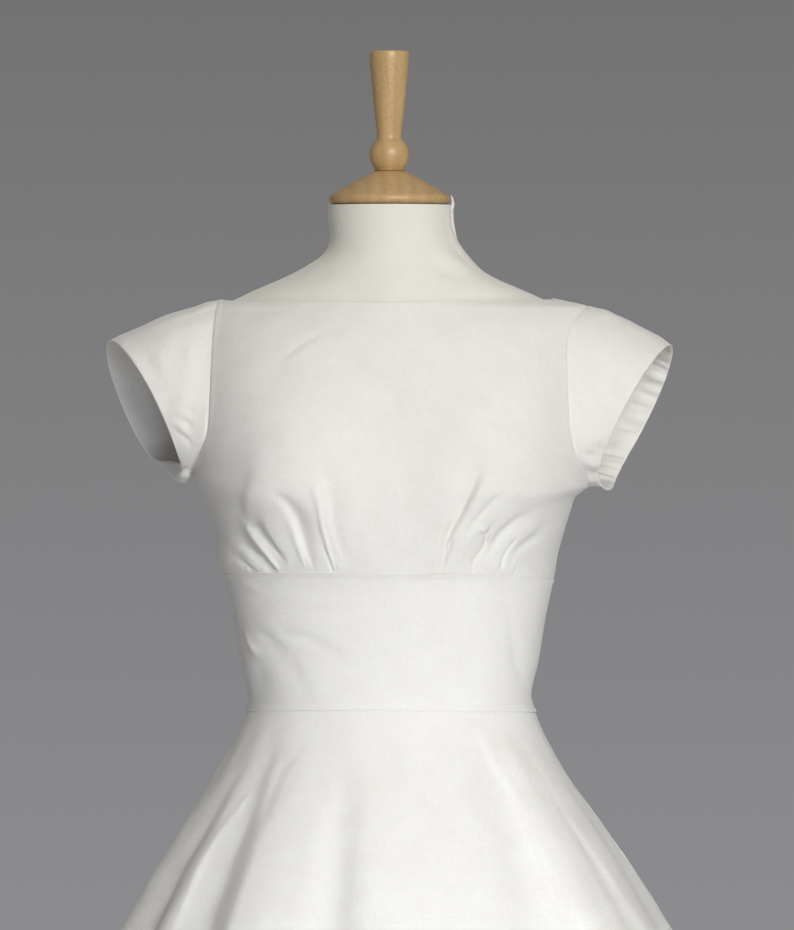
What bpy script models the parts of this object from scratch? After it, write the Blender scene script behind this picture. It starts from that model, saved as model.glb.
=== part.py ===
"""Fit and flare dress of plain linen, worn by a limbless dress form on a turned stand.

Metres, +Z up. The front faces -Y, and +X is the wearer's left. The origin is the centre of the
stand base's underside. Each piece of cloth is a thin wall on a surface that is worked out from
the sections, seams and folds in the tables below. An angle round the figure is 0 at the centre
front, a quarter turn at the wearer's left side and half a turn at the centre back.
"""
import math
from bisect import bisect_right
from collections import namedtuple
from functools import lru_cache

import bmesh
import bpy
from mathutils import Vector

# Cloth
WALL = 0.0015
SEAM_GAP = 0.0003
LEAD = 0.002
ARMHOLE_LEAD = 0.97
CORNER_EASE = 0.0002
WELD = 0.00001
QUARTER = math.pi / 2

# Level sections of the dressed figure. right, left, front and back are the distances from the
# axis to the cloth's outer face, square is the exponent of the section's superellipse, and ease
# is how far the form's own skin lies inside that face.
Section = namedtuple("Section", "height right left front back square ease")
FIGURE = (
    Section(0.780, 0.163, 0.163, 0.098, 0.111, 2.20, 0.0030),
    Section(0.800, 0.170, 0.170, 0.102, 0.118, 2.20, 0.0030),
    Section(0.860, 0.174, 0.174, 0.106, 0.123, 2.20, 0.0030),
    Section(0.920, 0.164, 0.164, 0.106, 0.117, 2.20, 0.0030),
    Section(0.980, 0.142, 0.142, 0.102, 0.102, 2.20, 0.0030),
    Section(1.015, 0.129, 0.129, 0.099, 0.092, 2.15, 0.0032),
    Section(1.040, 0.1222, 0.1240, 0.0975, 0.0878, 2.15, 0.0034),
    Section(1.052, 0.1203, 0.1205, 0.0970, 0.0868, 2.15, 0.0034),
    Section(1.085, 0.1270, 0.1272, 0.0995, 0.0890, 2.15, 0.0034),
    Section(1.118, 0.1322, 0.1322, 0.1035, 0.0930, 2.20, 0.0034),
    Section(1.140, 0.1362, 0.1365, 0.1062, 0.0955, 2.20, 0.0036),
    Section(1.157, 0.1412, 0.1400, 0.1085, 0.0978, 2.20, 0.0046),
    Section(1.172, 0.1480, 0.1420, 0.1135, 0.1000, 2.20, 0.0080),
    Section(1.190, 0.1478, 0.1472, 0.1180, 0.1018, 2.25, 0.0080),
    Section(1.210, 0.1535, 0.1530, 0.1215, 0.1032, 2.30, 0.0070),
    Section(1.224, 0.1590, 0.1580, 0.1230, 0.1040, 2.35, 0.0060),
    Section(1.231, 0.1625, 0.1680, 0.1232, 0.1044, 2.40, 0.0050),
    Section(1.2436, 0.1664, 0.1695, 0.1225, 0.1048, 2.40, 0.0045),
    Section(1.280, 0.1675, 0.1690, 0.1160, 0.1060, 2.50, 0.0040),
    Section(1.320, 0.1660, 0.1680, 0.1050, 0.1055, 2.40, 0.0035),
    Section(1.350, 0.1645, 0.1690, 0.0940, 0.1020, 2.10, 0.0030),
    Section(1.372, 0.1635, 0.1710, 0.0840, 0.0950, 1.75, 0.0030),
    Section(1.385, 0.1570, 0.1704, 0.0778, 0.0888, 1.48, 0.0027),
    Section(1.3877, 0.1520, 0.1560, 0.0765, 0.0875, 1.48, 0.0026),
    Section(1.3905, 0.1372, 0.1385, 0.0752, 0.0862, 1.50, 0.0026),
    Section(1.3987, 0.1215, 0.1205, 0.0720, 0.0825, 1.60, 0.0026),
    Section(1.4072, 0.1010, 0.1000, 0.0680, 0.0775, 1.70, 0.0026),
    Section(1.4157, 0.0822, 0.0822, 0.0640, 0.0725, 1.80, 0.0026),
    Section(1.4240, 0.0680, 0.0742, 0.0605, 0.0680, 1.90, 0.0026),
    Section(1.4327, 0.0562, 0.0666, 0.0580, 0.0635, 2.00, 0.0026),
    Section(1.4450, 0.0532, 0.0590, 0.0560, 0.0590, 2.00, 0.0026),
    Section(1.4550, 0.0545, 0.0560, 0.0553, 0.0563, 2.00, 0.0026),
    Section(1.4705, 0.0553, 0.0553, 0.0553, 0.0553, 2.00, 0.0026),
)

# Fullness over the bust, on both sides of the centre front.
BUST_APART = 0.088
BUST_HEIGHT = 1.243
BUST_RISE = 0.016
BUST_REACH_ACROSS = 0.052
BUST_REACH_UP = 0.070
BUST_REACH_DOWN = 0.046

# A seam or edge that runs round the figure: its height at the sides, what it gains at the centre
# front and centre back, and what it gains at the wearer's left side.
Line = namedtuple("Line", "base front back tilt")
WAIST = Line(1.0392, 0.0124, 0.0, -0.0004)
UNDER_BUST = Line(1.1545, 0.0126, 0.0, -0.0020)
NECKLINE = Line(1.3905, -0.0017, -0.0120, 0.0006)

# Each armhole's seam: how far it stands from the centre plane, by height.
Cut = namedtuple("Cut", "height reach")
ARMHOLES = {
    "right": (
        Cut(1.2436, 0.1664), Cut(1.263, 0.1590), Cut(1.280, 0.1545), Cut(1.307, 0.1534),
        Cut(1.334, 0.1517), Cut(1.372, 0.1505), Cut(1.3877, 0.1520),
    ),
    "left": (
        Cut(1.2310, 0.1680), Cut(1.242, 0.1660), Cut(1.253, 0.1620), Cut(1.267, 0.1555),
        Cut(1.294, 0.1526), Cut(1.345, 0.1510), Cut(1.364, 0.1534), Cut(1.379, 0.1620),
        Cut(1.3850, 0.1704),
    ),
}

# Each sleeve's hem: an oval round centre, with up and front as its two half axes.
Oval = namedtuple("Oval", "centre up front")
SLEEVE_HEMS = {
    "right": Oval((-0.2103, 0.0, 1.2970), (-0.0253, 0.0, 0.0590), (0.0173, -0.055, 0.0)),
    "left": Oval((0.2085, 0.0, 1.2905), (0.0300, 0.0, 0.0615), (-0.0170, -0.055, 0.0)),
}
SLEEVE_STRAIGHT = 0.0025
SLEEVE_CROWN = 0.004
SLEEVE_STATIONS = (0.0, 0.28, 0.52, 0.76, 1.0)

# Tucks under the bust, from the seam up to where each one dies away.
Tuck = namedtuple("Tuck", "seam_x top_x top_height depth width")
TUCKS = (
    Tuck(-0.0939, -0.1280, 1.2015, 0.0034, 0.0070),
    Tuck(-0.0690, -0.0990, 1.2270, 0.0036, 0.0070),
    Tuck(-0.0440, -0.0670, 1.2550, 0.0026, 0.0080),
    Tuck(0.0472, 0.0837, 1.2508, 0.0036, 0.0070),
    Tuck(0.0718, 0.1030, 1.2279, 0.0030, 0.0070),
    Tuck(0.0956, 0.1254, 1.2090, 0.0028, 0.0070),
)

# How far the skirt's cloth has spread from the waist seam, by the length of cloth below it.
Flare = namedtuple("Flare", "along spread")
FLARE = (
    Flare(0.000, 0.0000), Flare(0.008, 0.0028), Flare(0.017, 0.0065), Flare(0.026, 0.0099),
    Flare(0.045, 0.0195), Flare(0.065, 0.0301), Flare(0.085, 0.0407), Flare(0.126, 0.0633),
    Flare(0.166, 0.0845), Flare(0.206, 0.1049), Flare(0.300, 0.1495), Flare(0.400, 0.1950),
    Flare(0.500, 0.2380), Flare(0.600, 0.2780), Flare(0.660, 0.3010),
)

# The skirt's flutes: ridges stand out and hollows go in, each fading out by spread degrees.
Fold = namedtuple("Fold", "degrees spread rise start")
FOLDS = (
    Fold(-76, 7.0, 0.006, 0.030), Fold(-60, 5.5, -0.030, 0.060), Fold(-50, 6.0, 0.016, 0.060),
    Fold(-38, 5.0, -0.034, 0.030), Fold(-22, 9.0, 0.020, 0.050), Fold(-9, 6.0, -0.016, 0.060),
    Fold(6, 8.0, 0.017, 0.060), Fold(25, 8.0, -0.026, 0.040), Fold(40, 6.0, 0.030, 0.020),
    Fold(52, 5.5, -0.020, 0.050), Fold(65, 6.0, 0.026, 0.050), Fold(77, 6.0, -0.018, 0.060),
    Fold(91, 8.0, 0.016, 0.060), Fold(105, 6.0, -0.026, 0.040), Fold(119, 8.0, 0.026, 0.050),
    Fold(133, 6.5, -0.030, 0.030), Fold(148, 8.0, 0.022, 0.060), Fold(162, 6.0, -0.020, 0.050),
    Fold(177, 8.0, 0.018, 0.060), Fold(194, 7.0, -0.024, 0.040), Fold(209, 8.0, 0.026, 0.050),
    Fold(224, 6.0, -0.032, 0.030), Fold(239, 7.0, 0.024, 0.050), Fold(254, 6.0, -0.022, 0.060),
    Fold(269, 9.0, -0.010, 0.060),
)

# How finely each surface is divided.
TUCK_BAND = (math.radians(17), math.radians(49))
FRONT_STEPS = (3, 9, 4)
BACK_STEPS = 9
BAND_SHARES = (0.0, 0.11, 0.40, 0.70, 1.0)
BELOW_ARMHOLE = (0.0, 0.12, 0.30, 0.52, 0.76)
ARMHOLE_STEPS = 10
ABOVE_ARMHOLE = (0.5, 1.0)
SKIRT_STEPS = 23
SKIRT_ROWS = (0.0, 0.020, 0.055, 0.110, 0.190, 0.290, 0.410, 0.535, 0.660)
TORSO_STEPS = 36
TORSO_ROWS = (
    0.780, 0.800, 0.860, 0.920, 0.980, 1.020, 1.052, 1.100, 1.157, 1.190, 1.2436,
    1.280, 1.320, 1.350, 1.372, 1.383, 1.3895, 1.396, 1.404, 1.4157, 1.4327, 1.4705,
)
TURNED_STEPS = 28

# The form's flat arm ends, its base plate, and the turned pieces above and below it.
ARM_END = 0.1475
PLATE_THICKNESS = 0.012
PLATE_INSET = 0.004
REST_GAP = 0.0003
COLLAR_HEIGHT = 0.034
COLLAR_RADIUS = 0.030
POLE_RADIUS = 0.0125
BASE_RADIUS = 0.190
BASE_THICKNESS = 0.026
BOSS_HEIGHT = 0.045
BOSS_RADIUS = 0.028
CAP_RADIUS = 0.0512
CAP_TOP = 1.5000
BALL_RADIUS = 0.0170
BALL_HEIGHT = 1.5143
HANDLE_TOP = 1.6019

# What shows of the zip: the slider on the seam, with two ears that hold the pull tab's barrel.
ZIP_HEIGHT = 1.3700
SLIDER_WIDTH = 0.0050
SLIDER_LENGTH = 0.0090
SLIDER_THICKNESS = 0.0024
EAR_THICKNESS = 0.0008
EAR_LENGTH = 0.0026
EAR_HEIGHT = 0.0027
PIN_ABOVE_SLIDER = 0.0016
BARREL_RADIUS = 0.0011
BARREL_GAP = 0.0003
TAB_LENGTH = 0.0170
TAB_WIDTH = 0.0046
TAB_THICKNESS = 0.0010
OVERLAP = 0.0003

LINEN = (0.80, 0.785, 0.745)
JERSEY = (0.79, 0.755, 0.68)
BEECH = (0.48, 0.30, 0.135)
ENAMEL = (0.80, 0.785, 0.75)


# ---- Tables and surfaces

@lru_cache(maxsize=None)
def column_curve(rows, name):
    """One column's places, values and slopes; the slopes keep the curve from overshooting."""
    places = [row[0] for row in rows]
    values = [getattr(row, name) for row in rows]
    grades = []
    for i in range(len(rows) - 1):
        grades.append((values[i + 1] - values[i]) / (places[i + 1] - places[i]))
    slopes = [grades[0]]
    for before, after in zip(grades, grades[1:]):
        turns_back = before * after <= 0
        slopes.append(0.0 if turns_back else 2 * before * after / (before + after))
    slopes.append(grades[-1])
    return places, values, slopes


def read(rows, name, place):
    """A column of a table at any place, smooth between its rows and level outside them."""
    places, values, slopes = column_curve(rows, name)
    i = min(max(bisect_right(places, place) - 1, 0), len(places) - 2)
    width = places[i + 1] - places[i]
    t = min(max((place - places[i]) / width, 0.0), 1.0)
    keep = (1 + 2 * t) * (1 - t) ** 2
    lean_in = t * (1 - t) ** 2 * width
    lean_out = t ** 2 * (t - 1) * width
    return keep * values[i] + (1 - keep) * values[i + 1] + lean_in * slopes[i] + lean_out * slopes[i + 1]


def signed_power(value, power):
    return math.copysign(abs(value) ** power, value)


def side_of(angle):
    return "left" if math.sin(angle) > 0 else "right"


def face_of(angle):
    return "front" if math.cos(angle) > 0 else "back"


def bust_fullness(x, height):
    reach = BUST_REACH_UP if height > BUST_HEIGHT else BUST_REACH_DOWN
    across = (abs(x) - BUST_APART) / BUST_REACH_ACROSS
    along = (height - BUST_HEIGHT) / reach
    return BUST_RISE * math.exp(-across ** 2 - along ** 2)


def figure_surface(angle, height):
    """A point on the dressed figure's outer face."""
    power = 2 / read(FIGURE, "square", height)
    half_width = read(FIGURE, side_of(angle), height)
    depth = read(FIGURE, face_of(angle), height)
    x = half_width * signed_power(math.sin(angle), power)
    y = -depth * signed_power(math.cos(angle), power)
    if face_of(angle) == "front":
        y -= bust_fullness(x, height) * (1 - math.sin(angle) ** 8)
    return Vector((x, y, height))


def figure_normal(angle, height):
    turn = 0.01
    lift = 0.0005
    along = figure_surface(angle + turn, height) - figure_surface(angle - turn, height)
    up = figure_surface(angle, height + lift) - figure_surface(angle, height - lift)
    return along.cross(up).normalized()


def line_height(line, angle):
    """The height of a seam or edge at an angle round the figure."""
    gain = line.front if face_of(angle) == "front" else line.back
    return line.base + gain * abs(math.cos(angle)) + line.tilt * math.sin(angle)


# ---- Bodice

def bodice_heights(side):
    """Row heights up one side seam, round the armhole and along the shoulder seam."""
    sign = 1 if side == "left" else -1
    seam = line_height(UNDER_BUST, sign * QUARTER) + SEAM_GAP / 2
    neck = line_height(NECKLINE, sign * QUARTER)
    bottom = ARMHOLES[side][0].height
    top = ARMHOLES[side][-1].height
    heights = [seam + (bottom - seam) * share for share in BELOW_ARMHOLE]
    for step in range(ARMHOLE_STEPS + 1):
        share = (1 - math.cos(math.pi * step / ARMHOLE_STEPS)) / 2
        heights.append(bottom + (top - bottom) * share)
    heights += [top + (neck - top) * share for share in ABOVE_ARMHOLE]
    return heights


EDGE_HEIGHTS = {side: bodice_heights(side) for side in ARMHOLES}
ARMHOLE_ROW = len(BELOW_ARMHOLE)
ARMHOLE_CORNERS = (ARMHOLE_ROW, ARMHOLE_ROW + ARMHOLE_STEPS)


def edge_turn(side, row):
    """The angle from the centre line to the panel's side edge, less than a quarter at the armhole."""
    if not ARMHOLE_CORNERS[0] < row < ARMHOLE_CORNERS[1]:
        return QUARTER
    height = EDGE_HEIGHTS[side][row]
    share = read(ARMHOLES[side], "reach", height) / read(FIGURE, side, height)
    return math.asin(min(share, 1.0) ** (read(FIGURE, "square", height) / 2))


def tuck_depth(point):
    """How far the tucks draw the cloth in at a point of the front."""
    seam = UNDER_BUST.base + UNDER_BUST.front
    depth = 0.0
    for tuck in TUCKS:
        share = (point.z - seam) / (tuck.top_height - seam)
        fade = math.cos(QUARTER * min(max(share, 0.0), 1.0))
        middle = tuck.seam_x + (tuck.top_x - tuck.seam_x) * share
        depth += tuck.depth * fade * math.exp(-((point.x - middle) / tuck.width) ** 2)
    return depth


def bodice_point(face, turn, row):
    """A point of the bodice; turn runs from the face's centre line towards the wearer's left."""
    right = EDGE_HEIGHTS["right"][row]
    left = EDGE_HEIGHTS["left"][row]
    edge = right + (left - right) * (1 + math.sin(turn)) / 2
    share = (edge - UNDER_BUST.base) / (NECKLINE.base - UNDER_BUST.base)
    low = getattr(UNDER_BUST, face)
    high = getattr(NECKLINE, face)
    height = edge + (low + (high - low) * share) * math.cos(turn)
    angle = turn * edge_turn(side_of(turn), row) / QUARTER
    if face == "back":
        return figure_surface(math.pi - angle, height)
    point = figure_surface(angle, height)
    return point - figure_normal(angle, height) * tuck_depth(point)


def front_turns():
    """Column angles across the front, closer together where the tucks are."""
    stops = (0.0,) + TUCK_BAND + (QUARTER,)
    half = []
    for start, end, steps in zip(stops, stops[1:], FRONT_STEPS):
        half += [start + (end - start) * step / steps for step in range(1, steps + 1)]
    return [-turn for turn in reversed(half)] + [0.0] + half


def back_turns(side, steps):
    """Column angles across a back half, in the order that runs round the figure."""
    turns = [QUARTER * step / steps for step in range(steps + 1)]
    return turns[::-1] if side == "left" else [-turn for turn in turns]


def even_turns(steps):
    return [QUARTER * step / steps for step in range(-steps, steps + 1)]


# ---- Midriff and skirt

def midriff_point(angle, row):
    low = line_height(WAIST, angle) + SEAM_GAP / 2
    high = line_height(UNDER_BUST, angle) - SEAM_GAP / 2
    return figure_surface(angle, low + (high - low) * BAND_SHARES[row])


def fold_rise(angle, along):
    """How far the flutes stand out at an angle, this length of cloth below the waist seam."""
    length = SKIRT_ROWS[-1]
    rise = 0.0
    for fold in FOLDS:
        apart = math.remainder(angle - math.radians(fold.degrees), 2 * math.pi)
        growth = max(0.0, (along - fold.start) / (length - fold.start))
        rise += fold.rise * growth * math.exp(-(apart / math.radians(fold.spread)) ** 2)
    return rise


def skirt_meridian(angle):
    """Points down one line of the skirt, which keeps its cut length whatever the folds do."""
    height = line_height(WAIST, angle) - SEAM_GAP / 2
    waist = figure_surface(angle, height)
    outward = Vector((math.sin(angle), -math.cos(angle), 0.0))
    points = [waist]
    for before, along in zip(SKIRT_ROWS, SKIRT_ROWS[1:]):
        spread = read(FLARE, "spread", along) + fold_rise(angle, along)
        plan = Vector((waist.x, waist.y, 0.0)) + outward * spread
        run = (plan - Vector((points[-1].x, points[-1].y, 0.0))).length
        drop = math.sqrt((along - before) ** 2 - run ** 2)
        points.append(Vector((plan.x, plan.y, points[-1].z - drop)))
    return points


# ---- Sleeves

def armhole_rim(side, spoke):
    """A point of the armhole's seam; spokes run up the front from the underarm, then down the back."""
    sign = 1 if side == "left" else -1
    over = spoke > ARMHOLE_STEPS
    row = ARMHOLE_ROW + (2 * ARMHOLE_STEPS - spoke if over else spoke)
    return bodice_point("back" if over else "front", sign * QUARTER, row)


def sleeve_point(side, spoke, station):
    """A point of the sleeve; station -1 is its armhole edge and the last one its hem."""
    sign = 1 if side == "left" else -1
    rim = armhole_rim(side, spoke)
    if station < 0:
        return rim + Vector((sign * SEAM_GAP, 0.0, 0.0))
    start = rim + Vector((sign * SLEEVE_STRAIGHT, 0.0, 0.0))
    hem = SLEEVE_HEMS[side]
    turn = math.pi * spoke / ARMHOLE_STEPS
    rise = Vector(hem.up) * -math.cos(turn)
    end = Vector(hem.centre) + rise + Vector(hem.front) * math.sin(turn)
    share = SLEEVE_STATIONS[station]
    crown = SLEEVE_CROWN * math.sin(math.pi * share) * (1 - math.cos(turn)) / 2
    outward = Vector((0.0, -math.sin(turn), -math.cos(turn)))
    return start.lerp(end, share) + outward * crown


# ---- Building

def make_material(name, colour, roughness, metallic=0.0):
    material = bpy.data.materials.new(name)
    material.use_nodes = True
    shader = material.node_tree.nodes["Principled BSDF"]
    shader.inputs["Base Color"].default_value = (*colour, 1.0)
    shader.inputs["Roughness"].default_value = roughness
    shader.inputs["Metallic"].default_value = metallic
    return material


def make_object(name, mesh, material, collection):
    piece = bpy.data.objects.new(name, mesh)
    piece.data.materials.append(material)
    collection.objects.link(piece)
    return piece


def lay_grid(columns, rows, place):
    """A grid of columns by rows cells, each corner put where place(column, row) says."""
    grid = bmesh.new()
    bmesh.ops.create_grid(grid, x_segments=columns, y_segments=rows, size=0.5)
    for vertex in grid.verts:
        column = round((vertex.co.x + 0.5) * columns)
        row = round((vertex.co.y + 0.5) * rows)
        vertex.co = place(column, row)
    return grid


def make_cloth(name, grid, material, collection):
    """A wall of cloth: the grid is its outer face, and the thickness goes inwards."""
    mesh = bpy.data.meshes.new(name)
    grid.to_mesh(mesh)
    grid.free()
    mesh.shade_smooth()
    piece = make_object(name, mesh, material, collection)
    wall = piece.modifiers.new("Wall", "SOLIDIFY")
    wall.thickness = WALL
    wall.offset = -1.0
    return piece


def make_solid(name, columns, rows, place, material, collection):
    """A closed solid lofted through level sections, flat at its top and bottom."""
    grid = lay_grid(columns, rows, place)
    bmesh.ops.remove_doubles(grid, verts=grid.verts, dist=WELD)
    rims = [edge for edge in grid.edges if edge.is_boundary]
    bmesh.ops.holes_fill(grid, edges=rims, sides=0)
    bmesh.ops.recalc_face_normals(grid, faces=grid.faces)
    mesh = bpy.data.meshes.new(name)
    grid.to_mesh(mesh)
    grid.free()
    mesh.shade_smooth()
    mesh.set_sharp_from_angle(angle=math.radians(40))
    return make_object(name, mesh, material, collection)


def make_turned(name, profile, material, collection):
    """A turned piece: the profile of radius and height runs down its outer side."""
    mesh = bpy.data.meshes.new(name)
    corners = [(radius, 0.0, height) for radius, height in profile]
    edges = [(i, i + 1) for i in range(len(corners) - 1)]
    mesh.from_pydata(corners, edges, [])
    piece = make_object(name, mesh, material, collection)
    turn = piece.modifiers.new("Turn", "SCREW")
    turn.axis = "Z"
    turn.steps = TURNED_STEPS
    turn.render_steps = TURNED_STEPS
    turn.use_merge_vertices = True
    turn.merge_threshold = WELD
    turn.use_smooth_shade = True
    return piece


def arc(centre, radius, start, end, steps):
    """Profile points on a circle; angles in degrees from straight up, turning outwards."""
    points = []
    for step in range(steps + 1):
        angle = math.radians(start + (end - start) * step / steps)
        points.append((centre[0] + radius * math.sin(angle), centre[1] + radius * math.cos(angle)))
    return points


def panel_columns(angles, first_way, last_way):
    """Each column's angle and shift. A narrow strip lies square to the seam beside each side edge,
    so that two walls meet there face to face."""
    near = SEAM_GAP / 2
    start = [(angles[0], first_way * near), (angles[0], first_way * (near + LEAD))]
    end = [(angles[-1], last_way * (near + LEAD)), (angles[-1], last_way * near)]
    return start + [(angle, Vector()) for angle in angles[1:-1]] + end


FORWARD = Vector((0.0, -1.0, 0.0))
BACKWARD = Vector((0.0, 1.0, 0.0))
TO_LEFT = Vector((1.0, 0.0, 0.0))
TO_RIGHT = Vector((-1.0, 0.0, 0.0))
PANELS = (
    ("front", "front", None, FORWARD, FORWARD),
    ("back_left", "back", "left", BACKWARD, TO_LEFT),
    ("back_right", "back", "right", TO_RIGHT, BACKWARD),
)


def make_bodice(material, collection):
    rows = len(EDGE_HEIGHTS["left"]) - 1
    for suffix, face, side, first_way, last_way in PANELS:
        turns = front_turns() if face == "front" else back_turns(side, BACK_STEPS)
        columns = panel_columns(turns, first_way, last_way)

        def place(column, row):
            turn, shift = columns[column]
            if abs(turn) == QUARTER and edge_turn(side_of(turn), row) < QUARTER:
                turn *= 1.0 if column in (0, len(columns) - 1) else ARMHOLE_LEAD
                return bodice_point(face, turn, row)
            if abs(turn) == QUARTER and row in ARMHOLE_CORNERS:
                shift = shift + shift.normalized() * CORNER_EASE
            return bodice_point(face, turn, row) + shift

        grid = lay_grid(len(columns) - 1, rows, place)
        make_cloth("bodice_" + suffix, grid, material, collection)


def panel_angles(face, side, steps):
    if face == "front":
        return even_turns(steps)
    return [math.pi - turn for turn in back_turns(side, steps)]


def make_midriff(material, collection):
    for suffix, face, side, first_way, last_way in PANELS:
        angles = panel_angles(face, side, BACK_STEPS)
        columns = panel_columns(angles, first_way, last_way)

        def place(column, row):
            angle, shift = columns[column]
            return midriff_point(angle, row) + shift

        grid = lay_grid(len(columns) - 1, len(BAND_SHARES) - 1, place)
        make_cloth("midriff_" + suffix, grid, material, collection)


def make_skirt(material, collection):
    rows = len(SKIRT_ROWS) - 1
    for suffix, face, side, first_way, last_way in PANELS:
        angles = panel_angles(face, side, SKIRT_STEPS)
        columns = panel_columns(angles, first_way, last_way)
        meridians = {angle: skirt_meridian(angle) for angle in angles}

        def place(column, row):
            angle, shift = columns[column]
            return meridians[angle][rows - row] + shift

        grid = lay_grid(len(columns) - 1, rows, place)
        make_cloth("skirt_" + suffix, grid, material, collection)


def make_sleeves(material, collection):
    for side in ARMHOLES:
        spokes = 2 * ARMHOLE_STEPS
        stations = len(SLEEVE_STATIONS)

        def place(column, row):
            spoke = column if side == "right" else spokes - column
            return sleeve_point(side, spoke % spokes, row - 1)

        grid = lay_grid(spokes, stations, place)
        bmesh.ops.remove_doubles(grid, verts=grid.verts, dist=WELD)
        make_cloth("sleeve_" + side, grid, material, collection)


def torso_place(column, row):
    """The form's skin, inside the dress, with a flat end where each arm would be."""
    angle = 2 * math.pi * column / TORSO_STEPS
    height = TORSO_ROWS[row]
    inset = figure_normal(angle, height) * read(FIGURE, "ease", height)
    point = figure_surface(angle, height) - inset
    if row in (0, len(TORSO_ROWS) - 1):
        point.z = height
    point.x = min(max(point.x, -ARM_END), ARM_END)
    return point


def plate_place(column, row):
    """The plate under the form, drawn in from the form's lowest section."""
    angle = 2 * math.pi * column / TORSO_STEPS
    point = figure_surface(angle, TORSO_ROWS[0])
    point -= Vector((point.x, point.y, 0.0)).normalized() * (PLATE_INSET + FIGURE[0].ease)
    point.z = TORSO_ROWS[0] - REST_GAP - PLATE_THICKNESS * (1 - row)
    return point


def make_form(jersey, wood, collection):
    make_solid("form_torso", TORSO_STEPS, len(TORSO_ROWS) - 1, torso_place, jersey, collection)
    make_solid("form_base_plate", TORSO_STEPS, 1, plate_place, wood, collection)

    seat = TORSO_ROWS[-1] + REST_GAP
    cap = [(0.0, CAP_TOP), (0.0136, CAP_TOP - 0.0002), (0.0250, 1.4942), (0.0340, 1.4893)]
    cap += [(0.0425, 1.4842)]
    cap += arc((CAP_RADIUS - 0.0040, seat + 0.0042), 0.0040, 30, 165, 4)
    cap += [(0.0, seat)]
    make_turned("form_neck_cap", cap, wood, collection)

    foot = CAP_TOP + REST_GAP
    handle = [(0.0, HANDLE_TOP)]
    handle += arc((0.0122, HANDLE_TOP - 0.0045), 0.0045, 5, 85, 3)
    handle += [(0.0149, 1.5746), (0.01275, 1.5542), (0.0108, 1.5360), (0.0104, 1.5290)]
    handle += arc((0.0, BALL_HEIGHT), BALL_RADIUS, 40, 136, 6)
    handle += [(0.0134, foot + 0.0008), (0.0134, foot), (0.0, foot)]
    make_turned("form_handle", handle, wood, collection)


def make_stand(wood, collection):
    plate_under = TORSO_ROWS[0] - REST_GAP - PLATE_THICKNESS
    top = plate_under - REST_GAP
    collar = [(0.0, top), (COLLAR_RADIUS - 0.002, top), (COLLAR_RADIUS, top - 0.002)]
    collar += [(COLLAR_RADIUS, top - 0.010), (POLE_RADIUS + 0.008, top - 0.016)]
    collar += [(POLE_RADIUS + 0.005, top - COLLAR_HEIGHT), (0.0, top - COLLAR_HEIGHT)]
    make_turned("stand_collar", collar, wood, collection)

    pole_top = top - COLLAR_HEIGHT - REST_GAP
    pole_foot = BOSS_HEIGHT + REST_GAP
    pole = [(0.0, pole_top), (POLE_RADIUS, pole_top), (POLE_RADIUS, pole_foot), (0.0, pole_foot)]
    make_turned("stand_pole", pole, wood, collection)

    base = [(0.0, BOSS_HEIGHT), (BOSS_RADIUS - 0.003, BOSS_HEIGHT)]
    base += [(BOSS_RADIUS, BOSS_HEIGHT - 0.003), (BOSS_RADIUS + 0.002, BASE_THICKNESS + 0.004)]
    base += [(BOSS_RADIUS + 0.010, BASE_THICKNESS)]
    base += arc((BASE_RADIUS - 0.012, BASE_THICKNESS - 0.012), 0.012, 0, 90, 4)
    base += [(BASE_RADIUS, 0.003), (BASE_RADIUS - 0.003, 0.0), (0.0, 0.0)]
    make_turned("stand_base", base, wood, collection)


# ---- Zip

def box_mesh(name, low, high):
    """A box primitive between two corners."""
    mesh = bpy.data.meshes.new(name)
    box = bmesh.new()
    bmesh.ops.create_cube(box, size=1.0)
    for vertex in box.verts:
        for axis in range(3):
            share = vertex.co[axis] + 0.5
            vertex.co[axis] = low[axis] + (high[axis] - low[axis]) * share
    box.to_mesh(mesh)
    box.free()
    return mesh


def join_tool(piece, mesh, place, tools):
    """Unite a helper shape with a piece; the helper itself stays among the tools."""
    tool = bpy.data.objects.new(mesh.name, mesh)
    tools.objects.link(tool)
    tool.parent = place
    tool.location = piece.location
    tool.display_type = "WIRE"
    tool.hide_render = True
    union = piece.modifiers.new(mesh.name, "BOOLEAN")
    union.operation = "UNION"
    union.solver = "EXACT"
    union.object = tool


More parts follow.
